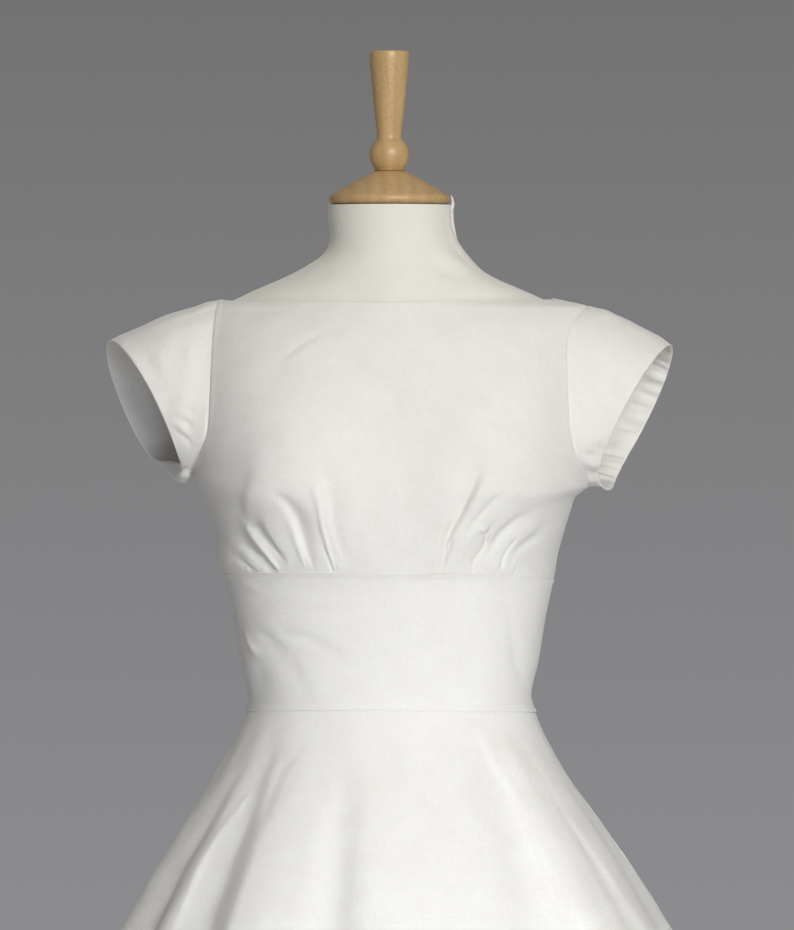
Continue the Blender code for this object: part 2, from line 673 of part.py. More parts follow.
def make_zip(material, collection, tools):
    seat = figure_surface(math.pi, ZIP_HEIGHT)
    normal = figure_normal(math.pi, ZIP_HEIGHT)
    place = bpy.data.objects.new("zip_place", None)
    place.location = seat
    place.rotation_euler.x = math.atan2(normal.z, normal.y)
    collection.objects.link(place)

    low = (-SLIDER_WIDTH / 2, REST_GAP, -SLIDER_LENGTH / 2)
    high = (SLIDER_WIDTH / 2, REST_GAP + SLIDER_THICKNESS, SLIDER_LENGTH / 2)
    slider = make_object("zip_slider", box_mesh("zip_slider", low, high), material, collection)
    slider.parent = place
    for sign in (-1, 1):
        ends = sorted((sign * (SLIDER_WIDTH / 2 - EAR_THICKNESS), sign * SLIDER_WIDTH / 2))
        ear_low = (ends[0], high[1] - OVERLAP, -EAR_LENGTH / 2)
        ear_high = (ends[1], high[1] + EAR_HEIGHT, EAR_LENGTH / 2)
        join_tool(slider, box_mesh("zip_ear", ear_low, ear_high), place, tools)

    pin = high[1] + PIN_ABOVE_SLIDER
    half_barrel = SLIDER_WIDTH / 2 - EAR_THICKNESS - BARREL_GAP
    tab_low = (-TAB_WIDTH / 2, -TAB_THICKNESS / 2, -TAB_LENGTH)
    tab_high = (TAB_WIDTH / 2, TAB_THICKNESS / 2, 0.0)
    tab_mesh = box_mesh("zip_pull_tab", tab_low, tab_high)
    for vertex in tab_mesh.vertices:
        if vertex.co.z > tab_low[2] / 2:
            vertex.co.x *= 2 * half_barrel / TAB_WIDTH
    tab = make_object("zip_pull_tab", tab_mesh, material, collection)
    tab.parent = place
    tab.location = (0.0, pin, 0.0)
    barrel = bmesh.new()
    bmesh.ops.create_cone(
        barrel, cap_ends=True, segments=16, radius1=BARREL_RADIUS, radius2=BARREL_RADIUS,
        depth=2 * half_barrel,
    )
    for vertex in barrel.verts:
        vertex.co = Vector((vertex.co.z, vertex.co.x, vertex.co.y))
    barrel_mesh = bpy.data.meshes.new("zip_barrel")
    barrel.to_mesh(barrel_mesh)
    barrel.free()
    join_tool(tab, barrel_mesh, place, tools)


def main():
    for item in list(bpy.data.objects):
        bpy.data.objects.remove(item)
    scene = bpy.context.scene.collection
    pieces = bpy.data.collections.new("FitAndFlareDress")
    tools = bpy.data.collections.new("Tools")
    scene.children.link(pieces)
    scene.children.link(tools)

    linen = make_material("linen", LINEN, 0.85)
    jersey = make_material("jersey", JERSEY, 0.90)
    beech = make_material("beech", BEECH, 0.42)
    enamel = make_material("enamel", ENAMEL, 0.32)

    make_form(jersey, beech, pieces)
    make_stand(beech, pieces)
    make_bodice(linen, pieces)
    make_midriff(linen, pieces)
    make_skirt(linen, pieces)
    make_sleeves(linen, pieces)
    make_zip(enamel, pieces, tools)


main()
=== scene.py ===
import math

import bmesh
import bpy
import numpy as np
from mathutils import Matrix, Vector


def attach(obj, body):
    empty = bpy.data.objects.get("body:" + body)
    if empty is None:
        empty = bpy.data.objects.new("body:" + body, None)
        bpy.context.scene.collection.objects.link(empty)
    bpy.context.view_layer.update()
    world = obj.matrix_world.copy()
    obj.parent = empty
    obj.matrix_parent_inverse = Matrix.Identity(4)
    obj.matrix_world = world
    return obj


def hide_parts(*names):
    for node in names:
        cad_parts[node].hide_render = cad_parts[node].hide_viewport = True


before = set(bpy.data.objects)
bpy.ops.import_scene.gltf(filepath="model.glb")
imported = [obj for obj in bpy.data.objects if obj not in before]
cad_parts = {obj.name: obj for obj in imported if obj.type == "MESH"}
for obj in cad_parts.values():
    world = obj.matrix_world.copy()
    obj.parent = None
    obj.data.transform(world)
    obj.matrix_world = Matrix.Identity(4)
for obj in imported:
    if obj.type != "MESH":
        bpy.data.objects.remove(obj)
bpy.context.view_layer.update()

quarter = math.pi / 2

# distances from the axis to the dressed figure's outer face, section by section, going up
figure = {
    "height": [0.780, 0.800, 0.860, 0.920, 0.980, 1.015, 1.040, 1.052, 1.085, 1.118, 1.140,
               1.157, 1.172, 1.190, 1.210, 1.224, 1.231, 1.2436, 1.280, 1.320, 1.350, 1.372,
               1.385, 1.3877, 1.3905, 1.3987, 1.4072, 1.4157, 1.4240, 1.4327, 1.4450, 1.4550,
               1.4705],
    "right": [0.163, 0.170, 0.174, 0.164, 0.142, 0.129, 0.1222, 0.1203, 0.1270, 0.1322, 0.1362,
              0.1412, 0.1480, 0.1478, 0.1535, 0.1590, 0.1625, 0.1664, 0.1675, 0.1660, 0.1645,
              0.1635, 0.1570, 0.1520, 0.1372, 0.1215, 0.1010, 0.0822, 0.0680, 0.0562, 0.0532,
              0.0545, 0.0553],
    "left": [0.163, 0.170, 0.174, 0.164, 0.142, 0.129, 0.1240, 0.1205, 0.1272, 0.1322, 0.1365,
             0.1400, 0.1420, 0.1472, 0.1530, 0.1580, 0.1680, 0.1695, 0.1690, 0.1680, 0.1690,
             0.1710, 0.1704, 0.1560, 0.1385, 0.1205, 0.1000, 0.0822, 0.0742, 0.0666, 0.0590,
             0.0560, 0.0553],
    "front": [0.098, 0.102, 0.106, 0.106, 0.102, 0.099, 0.0975, 0.0970, 0.0995, 0.1035, 0.1062,
              0.1085, 0.1135, 0.1180, 0.1215, 0.1230, 0.1232, 0.1225, 0.1160, 0.1050, 0.0940,
              0.0840, 0.0778, 0.0765, 0.0752, 0.0720, 0.0680, 0.0640, 0.0605, 0.0580, 0.0560,
              0.0553, 0.0553],
    "back": [0.111, 0.118, 0.123, 0.117, 0.102, 0.092, 0.0878, 0.0868, 0.0890, 0.0930, 0.0955,
             0.0978, 0.1000, 0.1018, 0.1032, 0.1040, 0.1044, 0.1048, 0.1060, 0.1055, 0.1020,
             0.0950, 0.0888, 0.0875, 0.0862, 0.0825, 0.0775, 0.0725, 0.0680, 0.0635, 0.0590,
             0.0563, 0.0553],
    "square": [2.20, 2.20, 2.20, 2.20, 2.20, 2.15, 2.15, 2.15, 2.15, 2.20, 2.20,
               2.20, 2.20, 2.25, 2.30, 2.35, 2.40, 2.40, 2.50, 2.40, 2.10, 1.75,
               1.48, 1.48, 1.50, 1.60, 1.70, 1.80, 1.90, 2.00, 2.00, 2.00,
               2.00],
    "ease": [0.0030, 0.0030, 0.0030, 0.0030, 0.0030, 0.0032, 0.0034, 0.0034, 0.0034, 0.0034,
             0.0036, 0.0046, 0.0080, 0.0080, 0.0070, 0.0060, 0.0050, 0.0045, 0.0040, 0.0035,
             0.0030, 0.0030, 0.0027, 0.0026, 0.0026, 0.0026, 0.0026, 0.0026, 0.0026, 0.0026,
             0.0026, 0.0026, 0.0026],
}
bust = {"apart": 0.088, "height": 1.243, "rise": 0.016, "across": 0.052, "up": 0.070, "down": 0.046,
        "blend": 0.012}
# seams round the figure: height at the sides, and what each gains at the front, back and left
waistSeam = {"base": 1.0392, "front": 0.0124, "back": 0.0, "tilt": -0.0004}
bustSeam = {"base": 1.1545, "front": 0.0126, "back": 0.0, "tilt": -0.0020}
neckEdge = {"base": 1.3905, "front": -0.0017, "back": -0.0120, "tilt": 0.0006}
tables = {"step": 0.00025, "soften": 0.0020}
# an edge bulges by a share of the wall, more where it is folded; a seam's ridge is given by its
# height, how far in it lies and its half width; radius is the figure's at the waist, roughly
cloth = {"wall": 0.0011, "hemWall": 0.0021, "gap": 0.00001, "weld": 0.000002, "sharp": 60,
         "cutEdge": 0.05, "foldEdge": 0.35, "seamRidge": (0.0004, 0.0024, 0.0020), "radius": 0.13}
photoEye = {"height": 1.407, "distance": 3.2}  # creases are placed as seen from here
creaseReach = 2.6  # half widths from its path beyond which a crease is left out


def smoothColumn(places, values, at):
    # a smooth curve through a table's column that never overshoots it
    places = np.array(places)
    values = np.array(values, float)
    grades = np.diff(values) / np.diff(places)
    before, after = grades[:-1], grades[1:]
    same = before * after > 0
    inner = np.where(same, 2 * before * after / np.where(same, before + after, 1.0), 0.0)
    slopes = np.concatenate([grades[:1], inner, grades[-1:]])
    at = np.clip(at, places[0], places[-1])
    i = np.clip(np.searchsorted(places, at, "right") - 1, 0, len(places) - 2)
    width = places[i + 1] - places[i]
    t = (at - places[i]) / width
    keep = (1 + 2 * t) * (1 - t) ** 2
    lean = t * (1 - t) ** 2 * width * slopes[i] + t ** 2 * (t - 1) * width * slopes[i + 1]
    return keep * values[i] + (1 - keep) * values[i + 1] + lean


def softened(values, reach):
    half = int(3 * reach) + 1
    bell = np.exp(-0.5 * (np.arange(-half, half + 1) / reach) ** 2)
    return np.convolve(np.pad(values, half, mode="edge"), bell / bell.sum(), mode="valid")


levels = np.arange(figure["height"][0], figure["height"][-1], tables["step"])
columns = {
    name: softened(smoothColumn(figure["height"], figure[name], levels),
                   tables["soften"] / tables["step"])
    for name in figure if name != "height"
}


def lookUp(name, height):
    return np.interp(height, levels, columns[name])


def signedPower(value, power):
    return np.sign(value) * np.abs(value) ** power


def figureSurface(angle, height):
    # angles run from the centre front towards the wearer's left
    sine, cosine = np.sin(angle), np.cos(angle)
    power = 2 / lookUp("square", height)
    half = np.where(sine > 0, lookUp("left", height), lookUp("right", height))
    depth = np.where(cosine > 0, lookUp("front", height), lookUp("back", height))
    x = half * signedPower(sine, power)
    y = -depth * signedPower(cosine, power)
    above = 1 / (1 + np.exp(-(height - bust["height"]) / bust["blend"]))
    reach = bust["down"] + (bust["up"] - bust["down"]) * above
    across = (np.abs(x) - bust["apart"]) / bust["across"]
    swell = np.exp(-across ** 2 - ((height - bust["height"]) / reach) ** 2) * (1 - sine ** 8)
    y = y - np.where(cosine > 0, bust["rise"] * swell, 0.0)
    return np.stack(np.broadcast_arrays(x, y, height), -1)


def lineHeight(line, angle):
    gain = np.where(np.cos(angle) > 0, line["front"], line["back"])
    return line["base"] + gain * np.abs(np.cos(angle)) + line["tilt"] * np.sin(angle)


def gridNormals(points, closed=False):
    # columns run round the figure and rows run up, so column x row points outwards
    if closed:
        along = np.roll(points, -1, 1) - np.roll(points, 1, 1)
    else:
        along = np.gradient(points, axis=1)
    normals = np.cross(along, np.gradient(points, axis=0))
    return normals / np.maximum(np.linalg.norm(normals, axis=-1, keepdims=True), 1e-12)


def relaxed(points, turns, closed=False):
    # evens out kinks inside a sheet and leaves its edges alone
    points = points.copy()
    for _ in range(turns):
        upright = (points[:-2] + points[2:]) / 2
        if closed:
            across = (np.roll(points, 1, 1) + np.roll(points, -1, 1))[1:-1] / 2
            points[1:-1] = (points[1:-1] * 2 + across + upright) / 4
        else:
            across = (points[1:-1, :-2] + points[1:-1, 2:]) / 2
            points[1:-1, 1:-1] = (points[1:-1, 1:-1] * 2 + across + upright[:, 1:-1]) / 4
    return points


def arcLength(points, axis):
    steps = np.linalg.norm(np.diff(points, axis=axis), axis=-1)
    total = np.cumsum(steps, axis=axis)
    return np.concatenate([np.zeros_like(np.take(total, [0], axis=axis)), total], axis=axis)


def edgeDistance(points, edge):
    # metres of cloth from one edge of the sheet: bottom, top, start or end
    axis = 0 if edge in ("bottom", "top") else 1
    length = arcLength(points, axis)
    if edge in ("top", "end"):
        length = np.take(length, [-1], axis=axis) - length
    return length


def edgeBump(points, edge, size, middle, reach):
    return size * np.exp(-((edgeDistance(points, edge) - middle) / reach) ** 2)


def ridged(height, points, edges, ridge):
    for edge in edges:
        height = height + edgeBump(points, edge, *ridge)
    return height


def moved(points, normals, height):
    return points + normals * height[..., None]


def flatCut(points):
    # metres of cloth across and up, measured from the middle of the sheet
    across, up = arcLength(points, 1), arcLength(points, 0)
    return np.stack([across - across[:, across.shape[1] // 2][:, None], up], -1)


def seen(points, fromBehind=False):
    # where a point appears on the upright plane through the figure's axis
    turn = -1 if fromBehind else 1
    scale = photoEye["distance"] / (photoEye["distance"] + turn * points[..., 1])
    height = photoEye["height"] + (points[..., 2] - photoEye["height"]) * scale
    return turn * points[..., 0] * scale, height


def roundedPath(path, steps=8):
    # a smooth curve through a crease's points
    path = np.array(path, float)
    ends = np.vstack([2 * path[0] - path[1], path, 2 * path[-1] - path[-2]])
    t = np.linspace(0, 1, steps, endpoint=False)[:, None]
    out = []
    for a, b, c, d in zip(ends, ends[1:], ends[2:], ends[3:]):
        bend = (2 * a - 5 * b + 4 * c - d) * t ** 2 + (3 * b - a - 3 * c + d) * t ** 3
        out.append(0.5 * (2 * b + (c - a) * t + bend))
    return np.concatenate(out + [ends[-2:-1]])


def creaseHeight(u, v, crease):
    # how far one crease moves the cloth outwards at (u, v); below zero it is a trough.
    # path, depth and half widths are in millimetres; left and right are sides of the way along
    # the path, so on a path that goes down, left is the image's right
    path = roundedPath(crease["path"]) / 1000
    left = np.array(crease["left"], float) / 1000
    right = np.array(crease.get("right", crease["left"]), float) / 1000
    reach = creaseReach * max(left.max(), right.max())
    low, high = path.min(0) - reach, path.max(0) + reach
    near = (u > low[0]) & (u < high[0]) & (v > low[1]) & (v < high[1])
    height = np.zeros(u.shape)
    if not near.any():
        return height
    spot = np.stack([u[near], v[near]], -1)
    lengths = np.linalg.norm(np.diff(path, axis=0), axis=1)
    starts = np.concatenate([[0], np.cumsum(lengths)])
    best = np.full(len(spot), 1e9)
    onLeft = np.zeros(len(spot), bool)
    share = np.zeros(len(spot))
    for i, length in enumerate(lengths):
        way = (path[i + 1] - path[i]) / length
        rel = spot - path[i]
        along = np.clip(rel @ way, 0, length)
        far = np.linalg.norm(rel - along[:, None] * way, axis=1)
        closer = far < best
        best[closer] = far[closer]
        onLeft[closer] = (way[0] * rel[:, 1] - way[1] * rel[:, 0] > 0)[closer]
        share[closer] = ((starts[i] + along) / starts[-1])[closer]

    def read(values):
        return np.interp(share, np.linspace(0, 1, len(values)), values)

    wide = np.where(onLeft, read(left), read(right))
    height[near] = read(crease["depth"]) / 1000 * np.exp(-(best / wide) ** 2)
    return height


def creased(points, creases, fromBehind=False):
    u, v = seen(points, fromBehind)
    return sum((creaseHeight(u, v, crease) for crease in creases), np.zeros(u.shape))


def rumple(u, v, size, wavelength, seed, waves=26):
    # soft uneven ripples, the same on every run
    dice = np.random.default_rng(seed)
    height = np.zeros(np.broadcast(u, v).shape)
    for _ in range(waves):
        way = dice.uniform(0, math.pi)
        length = wavelength * dice.uniform(0.6, 1.7)
        phase = dice.uniform(0, 2 * math.pi)
        height += np.sin(2 * math.pi * (u * math.cos(way) + v * math.sin(way)) / length + phase)
    return height * size / math.sqrt(waves / 2)


def unevenness(points, panel, suffix):
    seed = panel["seeds"][suffix]
    return rumple(points[..., 0], points[..., 2], panel["rumple"], panel["wave"], seed)


def newMesh(name, points, faces):
    mesh = bpy.data.meshes.new(name)
    mesh.from_pydata(points.reshape(-1, 3).tolist(), [], faces)
    return mesh


def newPiece(name, mesh, material, slot, replaces=True):
    mesh.materials.append(material)
    piece = bpy.data.objects.new(name + "_" + slot, mesh)
    bpy.context.scene.collection.objects.link(piece)
    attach(piece, "dress_and_form")
    if replaces:
        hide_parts(name)
    return piece


def makeCloth(name, points, wall, cut, rims=(cloth["cutEdge"], cloth["cutEdge"]), closed=False):
    # a shell: points are its outer face, wall its thickness under each of them, cut their
    # places on the flat cloth, and rims how far the bottom and top edges are rounded
    rows = len(points)
    normals = gridNormals(points, closed)
    thick = np.broadcast_to(np.asarray(wall, float), points.shape[:2])[..., None]
    inner = points - normals * thick

    def rim(edge, inside, bulge):
        beyond = points[edge] - points[inside]
        beyond = beyond / np.linalg.norm(beyond, axis=-1, keepdims=True)
        return (points[edge] + inner[edge]) / 2 + beyond * thick[edge] * bulge

    loop = np.concatenate([points, [rim(-1, -2, rims[1])], inner[::-1], [rim(0, 1, rims[0])]])
    places = np.concatenate([cut, cut[-1:], cut[::-1], cut[:1]])
    if closed:
        # the tube's last column lies on its first, but goes on across the flat cloth
        loop = np.concatenate([loop, loop[:, :1]], 1)
        lap = places[:, :1] + (places[:, -1:] - places[:, -2:-1]) + (places[:, -1:] - places[:, :1])
        places = np.concatenate([places, lap], 1)
    height, width = loop.shape[:2]
    i, j = np.meshgrid(np.arange(height), np.arange(width - 1), indexing="ij")
    above = (i + 1) % height
    faces = np.stack([i * width + j, i * width + j + 1, above * width + j + 1, above * width + j], -1)
    faces = faces.reshape(-1, 4).tolist()
    if not closed:
        for column in (0, width - 1):
            at = np.arange(height) * width + column
            faces += [[at[r], at[r + 1], at[2 * rows - r - 1], at[2 * rows - r]]
                      for r in range(rows - 1)]
            faces += [[at[rows - 1], at[rows], at[rows + 1]], [at[2 * rows], at[2 * rows + 1], at[0]]]
    mesh = newMesh(name, loop, faces)
    corners = np.zeros(len(mesh.loops), np.int32)
    mesh.loops.foreach_get("vertex_index", corners)
    layer = mesh.uv_layers.new(name="clothMetres")
    layer.data.foreach_set("uv", places.reshape(-1, 2)[corners].astype(np.float32).ravel())
    work = bmesh.new()
    work.from_mesh(mesh)
    bmesh.ops.remove_doubles(work, verts=work.verts, dist=cloth["weld"])
    bmesh.ops.recalc_face_normals(work, faces=work.faces)
    work.to_mesh(mesh)
    work.free()
    mesh.shade_smooth()
    mesh.set_sharp_from_angle(angle=math.radians(cloth["sharp"]))
    newPiece(name, mesh, linen, "linen")


def tubeFaces(rows, columns):
    # the faces between the rows of a tube, and one across each end
    i, j = np.meshgrid(np.arange(rows - 1), np.arange(columns), indexing="ij")
    low, high = i * columns, (i + 1) * columns
    after = (j + 1) % columns
    faces = np.stack([low + j, low + after, high + after, high + j], -1).reshape(-1, 4).tolist()
    return faces + [list(range(columns))[::-1], [(rows - 1) * columns + j for j in range(columns)]]


class Socket:
    # a node's output that can be used in sums
    def __init__(self, finish, link):
        self.finish = finish
        self.link = link

    def maths(self, operation, *values):
        return self.finish.node("ShaderNodeMath", {"operation": operation}, *values)

    def __add__(self, other):
        return self.maths("ADD", self, other)

    def __sub__(self, other):
        return self.maths("SUBTRACT", self, other)

    def __rsub__(self, other):
        return self.maths("SUBTRACT", other, self)

    def __mul__(self, other):
        return self.maths("MULTIPLY", self, other)

    def __pow__(self, other):
        return self.maths("POWER", self, other)


class Finish:
    # one material: its shader, and a method that adds any other node
    def __init__(self, name, colour, roughness, **constants):
        self.material = bpy.data.materials.new(name)
        self.material.use_nodes = True
        self.tree = self.material.node_tree
        self.shader = self.tree.nodes["Principled BSDF"]
        self.shader.inputs["Base Color"].default_value = (*colour, 1)
        self.shader.inputs["Roughness"].default_value = roughness
        for socket, value in constants.items():
            self.shader.inputs[socket.replace("_", " ")].default_value = value

    def node(self, kind, settings, *values, out=0, **named):
        made = self.tree.nodes.new(kind)
        for key, value in settings.items():
            setattr(made, key, value)
        for socket, value in zip(made.inputs, values):
            self.feed(socket, value)
        for key, value in named.items():
            place = int(key[2:]) if key.startswith("at") else key.replace("_", " ")
            self.feed(made.inputs[place], value)
        return Socket(self, made.outputs[out])

    def feed(self, socket, value):
        if isinstance(value, Socket):
            self.tree.links.new(value.link, socket)
        else:
            socket.default_value = value

    def mixed(self, share, first, second):
        settings = {"data_type": "RGBA"}
        second = (*second, 1)
        first = first if isinstance(first, Socket) else (*first, 1)
        return self.node("ShaderNodeMix", settings, out=2, at0=share, at6=first, at7=second)

    def onCloth(self, scale=(1, 1, 1)):
        place = self.node("ShaderNodeUVMap", {"uv_map": "clothMetres"})
        return self.node("ShaderNodeMapping", {}, Vector=place, Scale=scale)

    def onPiece(self, scale=(1, 1, 1), turn=(0, 0, 0), shift=(0, 0, 0)):
        place = self.node("ShaderNodeTexCoord", {}, out=3)
        return self.node("ShaderNodeMapping", {}, Vector=place, Scale=scale, Rotation=turn,
                         Location=shift)

    def noise(self, place, scale=1.0, detail=2.0, rough=0.5, bend=0.0, out=0):
        return self.node("ShaderNodeTexNoise", {}, Vector=place, Scale=scale, Detail=detail,
                         Roughness=rough, Distortion=bend, out=out)

    def ranged(self, value, low, high, outLow=0.0, outHigh=1.0):
        return self.node("ShaderNodeMapRange", {}, value, low, high, outLow, outHigh)

    def waves(self, value, pitch):
        return self.node("ShaderNodeMath", {"operation": "SINE"}, value * (2 * math.pi / pitch))

    def ridges(self, noise, sharpness):
        # thin lines where the noise crosses its middle value
        away = self.node("ShaderNodeMath", {"operation": "ABSOLUTE"}, (noise - 0.5) * sharpness)
        return self.node("ShaderNodeMath", {"operation": "MAXIMUM"}, 1 - away, 0.0) ** 2.0

    def parts(self, place):
        split = self.node("ShaderNodeSeparateXYZ", {}, place).link.node
        return [Socket(self, output) for output in split.outputs]

    def colour(self, value):
        self.feed(self.shader.inputs["Base Color"], value)

    def roughness(self, value):
        self.feed(self.shader.inputs["Roughness"], value)

    def bump(self, height, distance, strength):
        bumped = self.node("ShaderNodeBump", {}, Strength=strength, Distance=distance, Height=height)
        self.feed(self.shader.inputs["Normal"], bumped)


linenLook = {
    "pale": (0.802, 0.779, 0.733), "shade": (0.778, 0.752, 0.700), "thread": (0.692, 0.666, 0.610),
    "pitch": 0.0006, "slubAcross": (80, 620, 1), "slubDown": (620, 80, 1),
    "creaseAcross": (26, 60, 1), "creaseAny": 34.0, "bump": 0.0006, "strength": 0.7,
}


def makeLinen():
    look = linenLook
    finish = Finish("linen", look["pale"], 0.86, Sheen_Weight=0.12, Sheen_Roughness=0.5,
                    Specular_IOR_Level=0.25)
    flat = finish.onCloth()
    # the threads wander a little, so the weave never lines up like a printed grid
    drift = finish.noise(flat, 60.0, 1.0, out=1)
    settings = {"operation": "MULTIPLY_ADD"}
    place = finish.node("ShaderNodeVectorMath", settings, drift, (0.0005, 0.0005, 0.0), flat)
    u, v, _ = finish.parts(place)
    weave = finish.waves(u, look["pitch"]) * finish.waves(v, look["pitch"])
    # slubs are thicker stretches of single threads, mostly across
    across = finish.noise(finish.onCloth(look["slubAcross"]), rough=0.6)
    down = finish.noise(finish.onCloth(look["slubDown"]), rough=0.6)
    slub = finish.ranged(across, 0.45, 0.75) + finish.ranged(down, 0.45, 0.75)
    # fine creases from handling, and the soft unevenness between them
    long = finish.ridges(finish.noise(finish.onCloth(look["creaseAcross"]), 1.0, 3.0, 0.55, 0.8), 11.0)
    short = finish.ridges(finish.noise(flat, look["creaseAny"], 3.0, 0.5, 1.2), 12.0)
    soft = finish.noise(flat, 24.0, 4.0, 0.6, 0.5)
    grain = finish.noise(flat, 420.0, 2.0, 0.6)
    cloudy = finish.ranged(finish.noise(flat, 38.0), 0.3, 0.7)
    tone = finish.mixed(cloudy, look["pale"], look["shade"])
    finish.colour(finish.mixed(finish.ranged(slub, 0.2, 1.5, 0.0, 0.34), tone, look["thread"]))
    finish.roughness(finish.ranged(slub, 0.0, 1.2, 0.88, 0.78))
    height = weave * 0.06 + slub * 0.17 + grain * 0.10 + long * 0.08 + short * 0.10 + soft * 1.0
    finish.bump(height, look["bump"], look["strength"])
    return finish.material


jerseyLook = {
    "pale": (0.790, 0.757, 0.680), "shade": (0.750, 0.714, 0.634),
    "wales": (1500, 1500, 70), "bump": 0.0004, "strength": 0.60, "lint": 900.0,
}


def makeJersey():
    look = jerseyLook
    finish = Finish("jersey", look["pale"], 0.92, Sheen_Weight=0.20, Sheen_Roughness=0.6,
                    Specular_IOR_Level=0.2)
    wales = finish.noise(finish.onPiece(look["wales"]), rough=0.5)
    lint = finish.noise(finish.onPiece(), look["lint"], 2.0, 0.7)
    soft = finish.noise(finish.onPiece(), 30.0, 3.0)
    tone = finish.mixed(finish.ranged(soft, 0.3, 0.7), look["pale"], look["shade"])
    finish.colour(finish.mixed(finish.ranged(lint, 0.40, 0.65, 0.0, 0.6), tone, look["shade"]))
    finish.bump(wales * 0.6 + lint * 0.7 + soft * 2.4, look["bump"], look["strength"])
    return finish.material


beechLook = {
    "pale": (0.563, 0.374, 0.171), "dark": (0.434, 0.267, 0.108), "fleck": (0.243, 0.132, 0.052),
    "ring": 24.0, "streaks": (260, 260, 10), "flecks": (1700, 1700, 380), "pores": (1500, 1500, 60),
}


def makeBeech():
    look = beechLook
    finish = Finish("beech", look["pale"], 0.50, Coat_Weight=0.16, Coat_Roughness=0.22,
                    Specular_IOR_Level=0.40)
    # each turned piece is cut off centre from a straight-grained billet
    settings = {"wave_type": "RINGS", "rings_direction": "Z"}
    place = finish.onPiece((1.0, 1.0, 0.10), (0.06, 0.10, 0.0), (0.075, 0.045, 0.0))
    rings = finish.node("ShaderNodeTexWave", settings, Vector=place, Scale=look["ring"], Distortion=3.0,
                        Detail=3.0, Detail_Scale=1.6, Detail_Roughness=0.6, out=1)
    streak = finish.noise(finish.onPiece(look["streaks"]), 1.0, 4.0, 0.6)
    fleck = finish.noise(finish.onPiece(look["flecks"]), rough=0.5)
    pores = finish.noise(finish.onPiece(look["pores"]), rough=0.5)
    tone = finish.mixed(rings * 0.40, look["pale"], look["dark"])
    tone = finish.mixed(finish.ranged(streak, 0.45, 0.75, 0.0, 0.60), tone, look["dark"])
    tone = finish.mixed(finish.ranged(fleck, 0.58, 0.68, 0.0, 0.62), tone, look["fleck"])
    finish.colour(tone)
    finish.roughness(finish.ranged(streak, 0.3, 0.8, 0.36, 0.50))
    finish.bump(streak * 0.4 - pores * 0.4, 0.00015, 0.3)
    return finish.material


enamelLook = {"paint": (0.800, 0.785, 0.750), "worn": (0.620, 0.600, 0.560)}


def makeEnamel():
    look = enamelLook
    finish = Finish("enamel", look["paint"], 0.30, Coat_Weight=0.4, Coat_Roughness=0.15)
    wear = finish.noise(finish.onPiece(), 700.0, 3.0)
    finish.colour(finish.mixed(finish.ranged(wear, 0.62, 0.72, 0.0, 0.5), look["paint"], look["worn"]))
    finish.roughness(finish.ranged(wear, 0.3, 0.7, 0.24, 0.38))
    return finish.material


linen, jersey, beech, enamel = makeLinen(), makeJersey(), makeBeech(), makeEnamel()
print("materials made")

armholes = {
    "right": {"height": [1.2436, 1.263, 1.280, 1.307, 1.334, 1.364, 1.380, 1.3893],
              "reach": [0.1664, 0.1585, 0.1518, 0.1498, 0.1493, 0.1484, 0.1465, 0.1440]},
    "left": {"height": [1.2310, 1.242, 1.253, 1.267, 1.294, 1.345, 1.364, 1.379, 1.3850],
             "reach": [0.1680, 0.1655, 0.1600, 0.1535, 0.1497, 0.1484, 0.1512, 0.1605, 0.1704]},
}
# a panel's rows are numbered 0 to 5 up the side seam, on to 15 round the armhole, and to 17
bodice = {
    "sideRows": 46, "armholeRows": 62, "shoulderRows": 6, "backColumns": 96,
    "frontStops": [-0.97, -0.20, 0.20, 0.90], "frontColumns": [26, 136, 22, 132, 26],
    "sideShares": [0, 0.12, 0.30, 0.52, 0.76, 1], "neckHem": 0.012, "hemStep": 0.0005,
    "sideRadius": 0.16, "backRadius": 0.1, "relax": 6, "seamRidge": (0.0006, 0.0026, 0.0024),
    "rumple": 0.00022, "wave": 0.045, "seeds": {"front": 5, "back_left": 6, "back_right": 7},
}
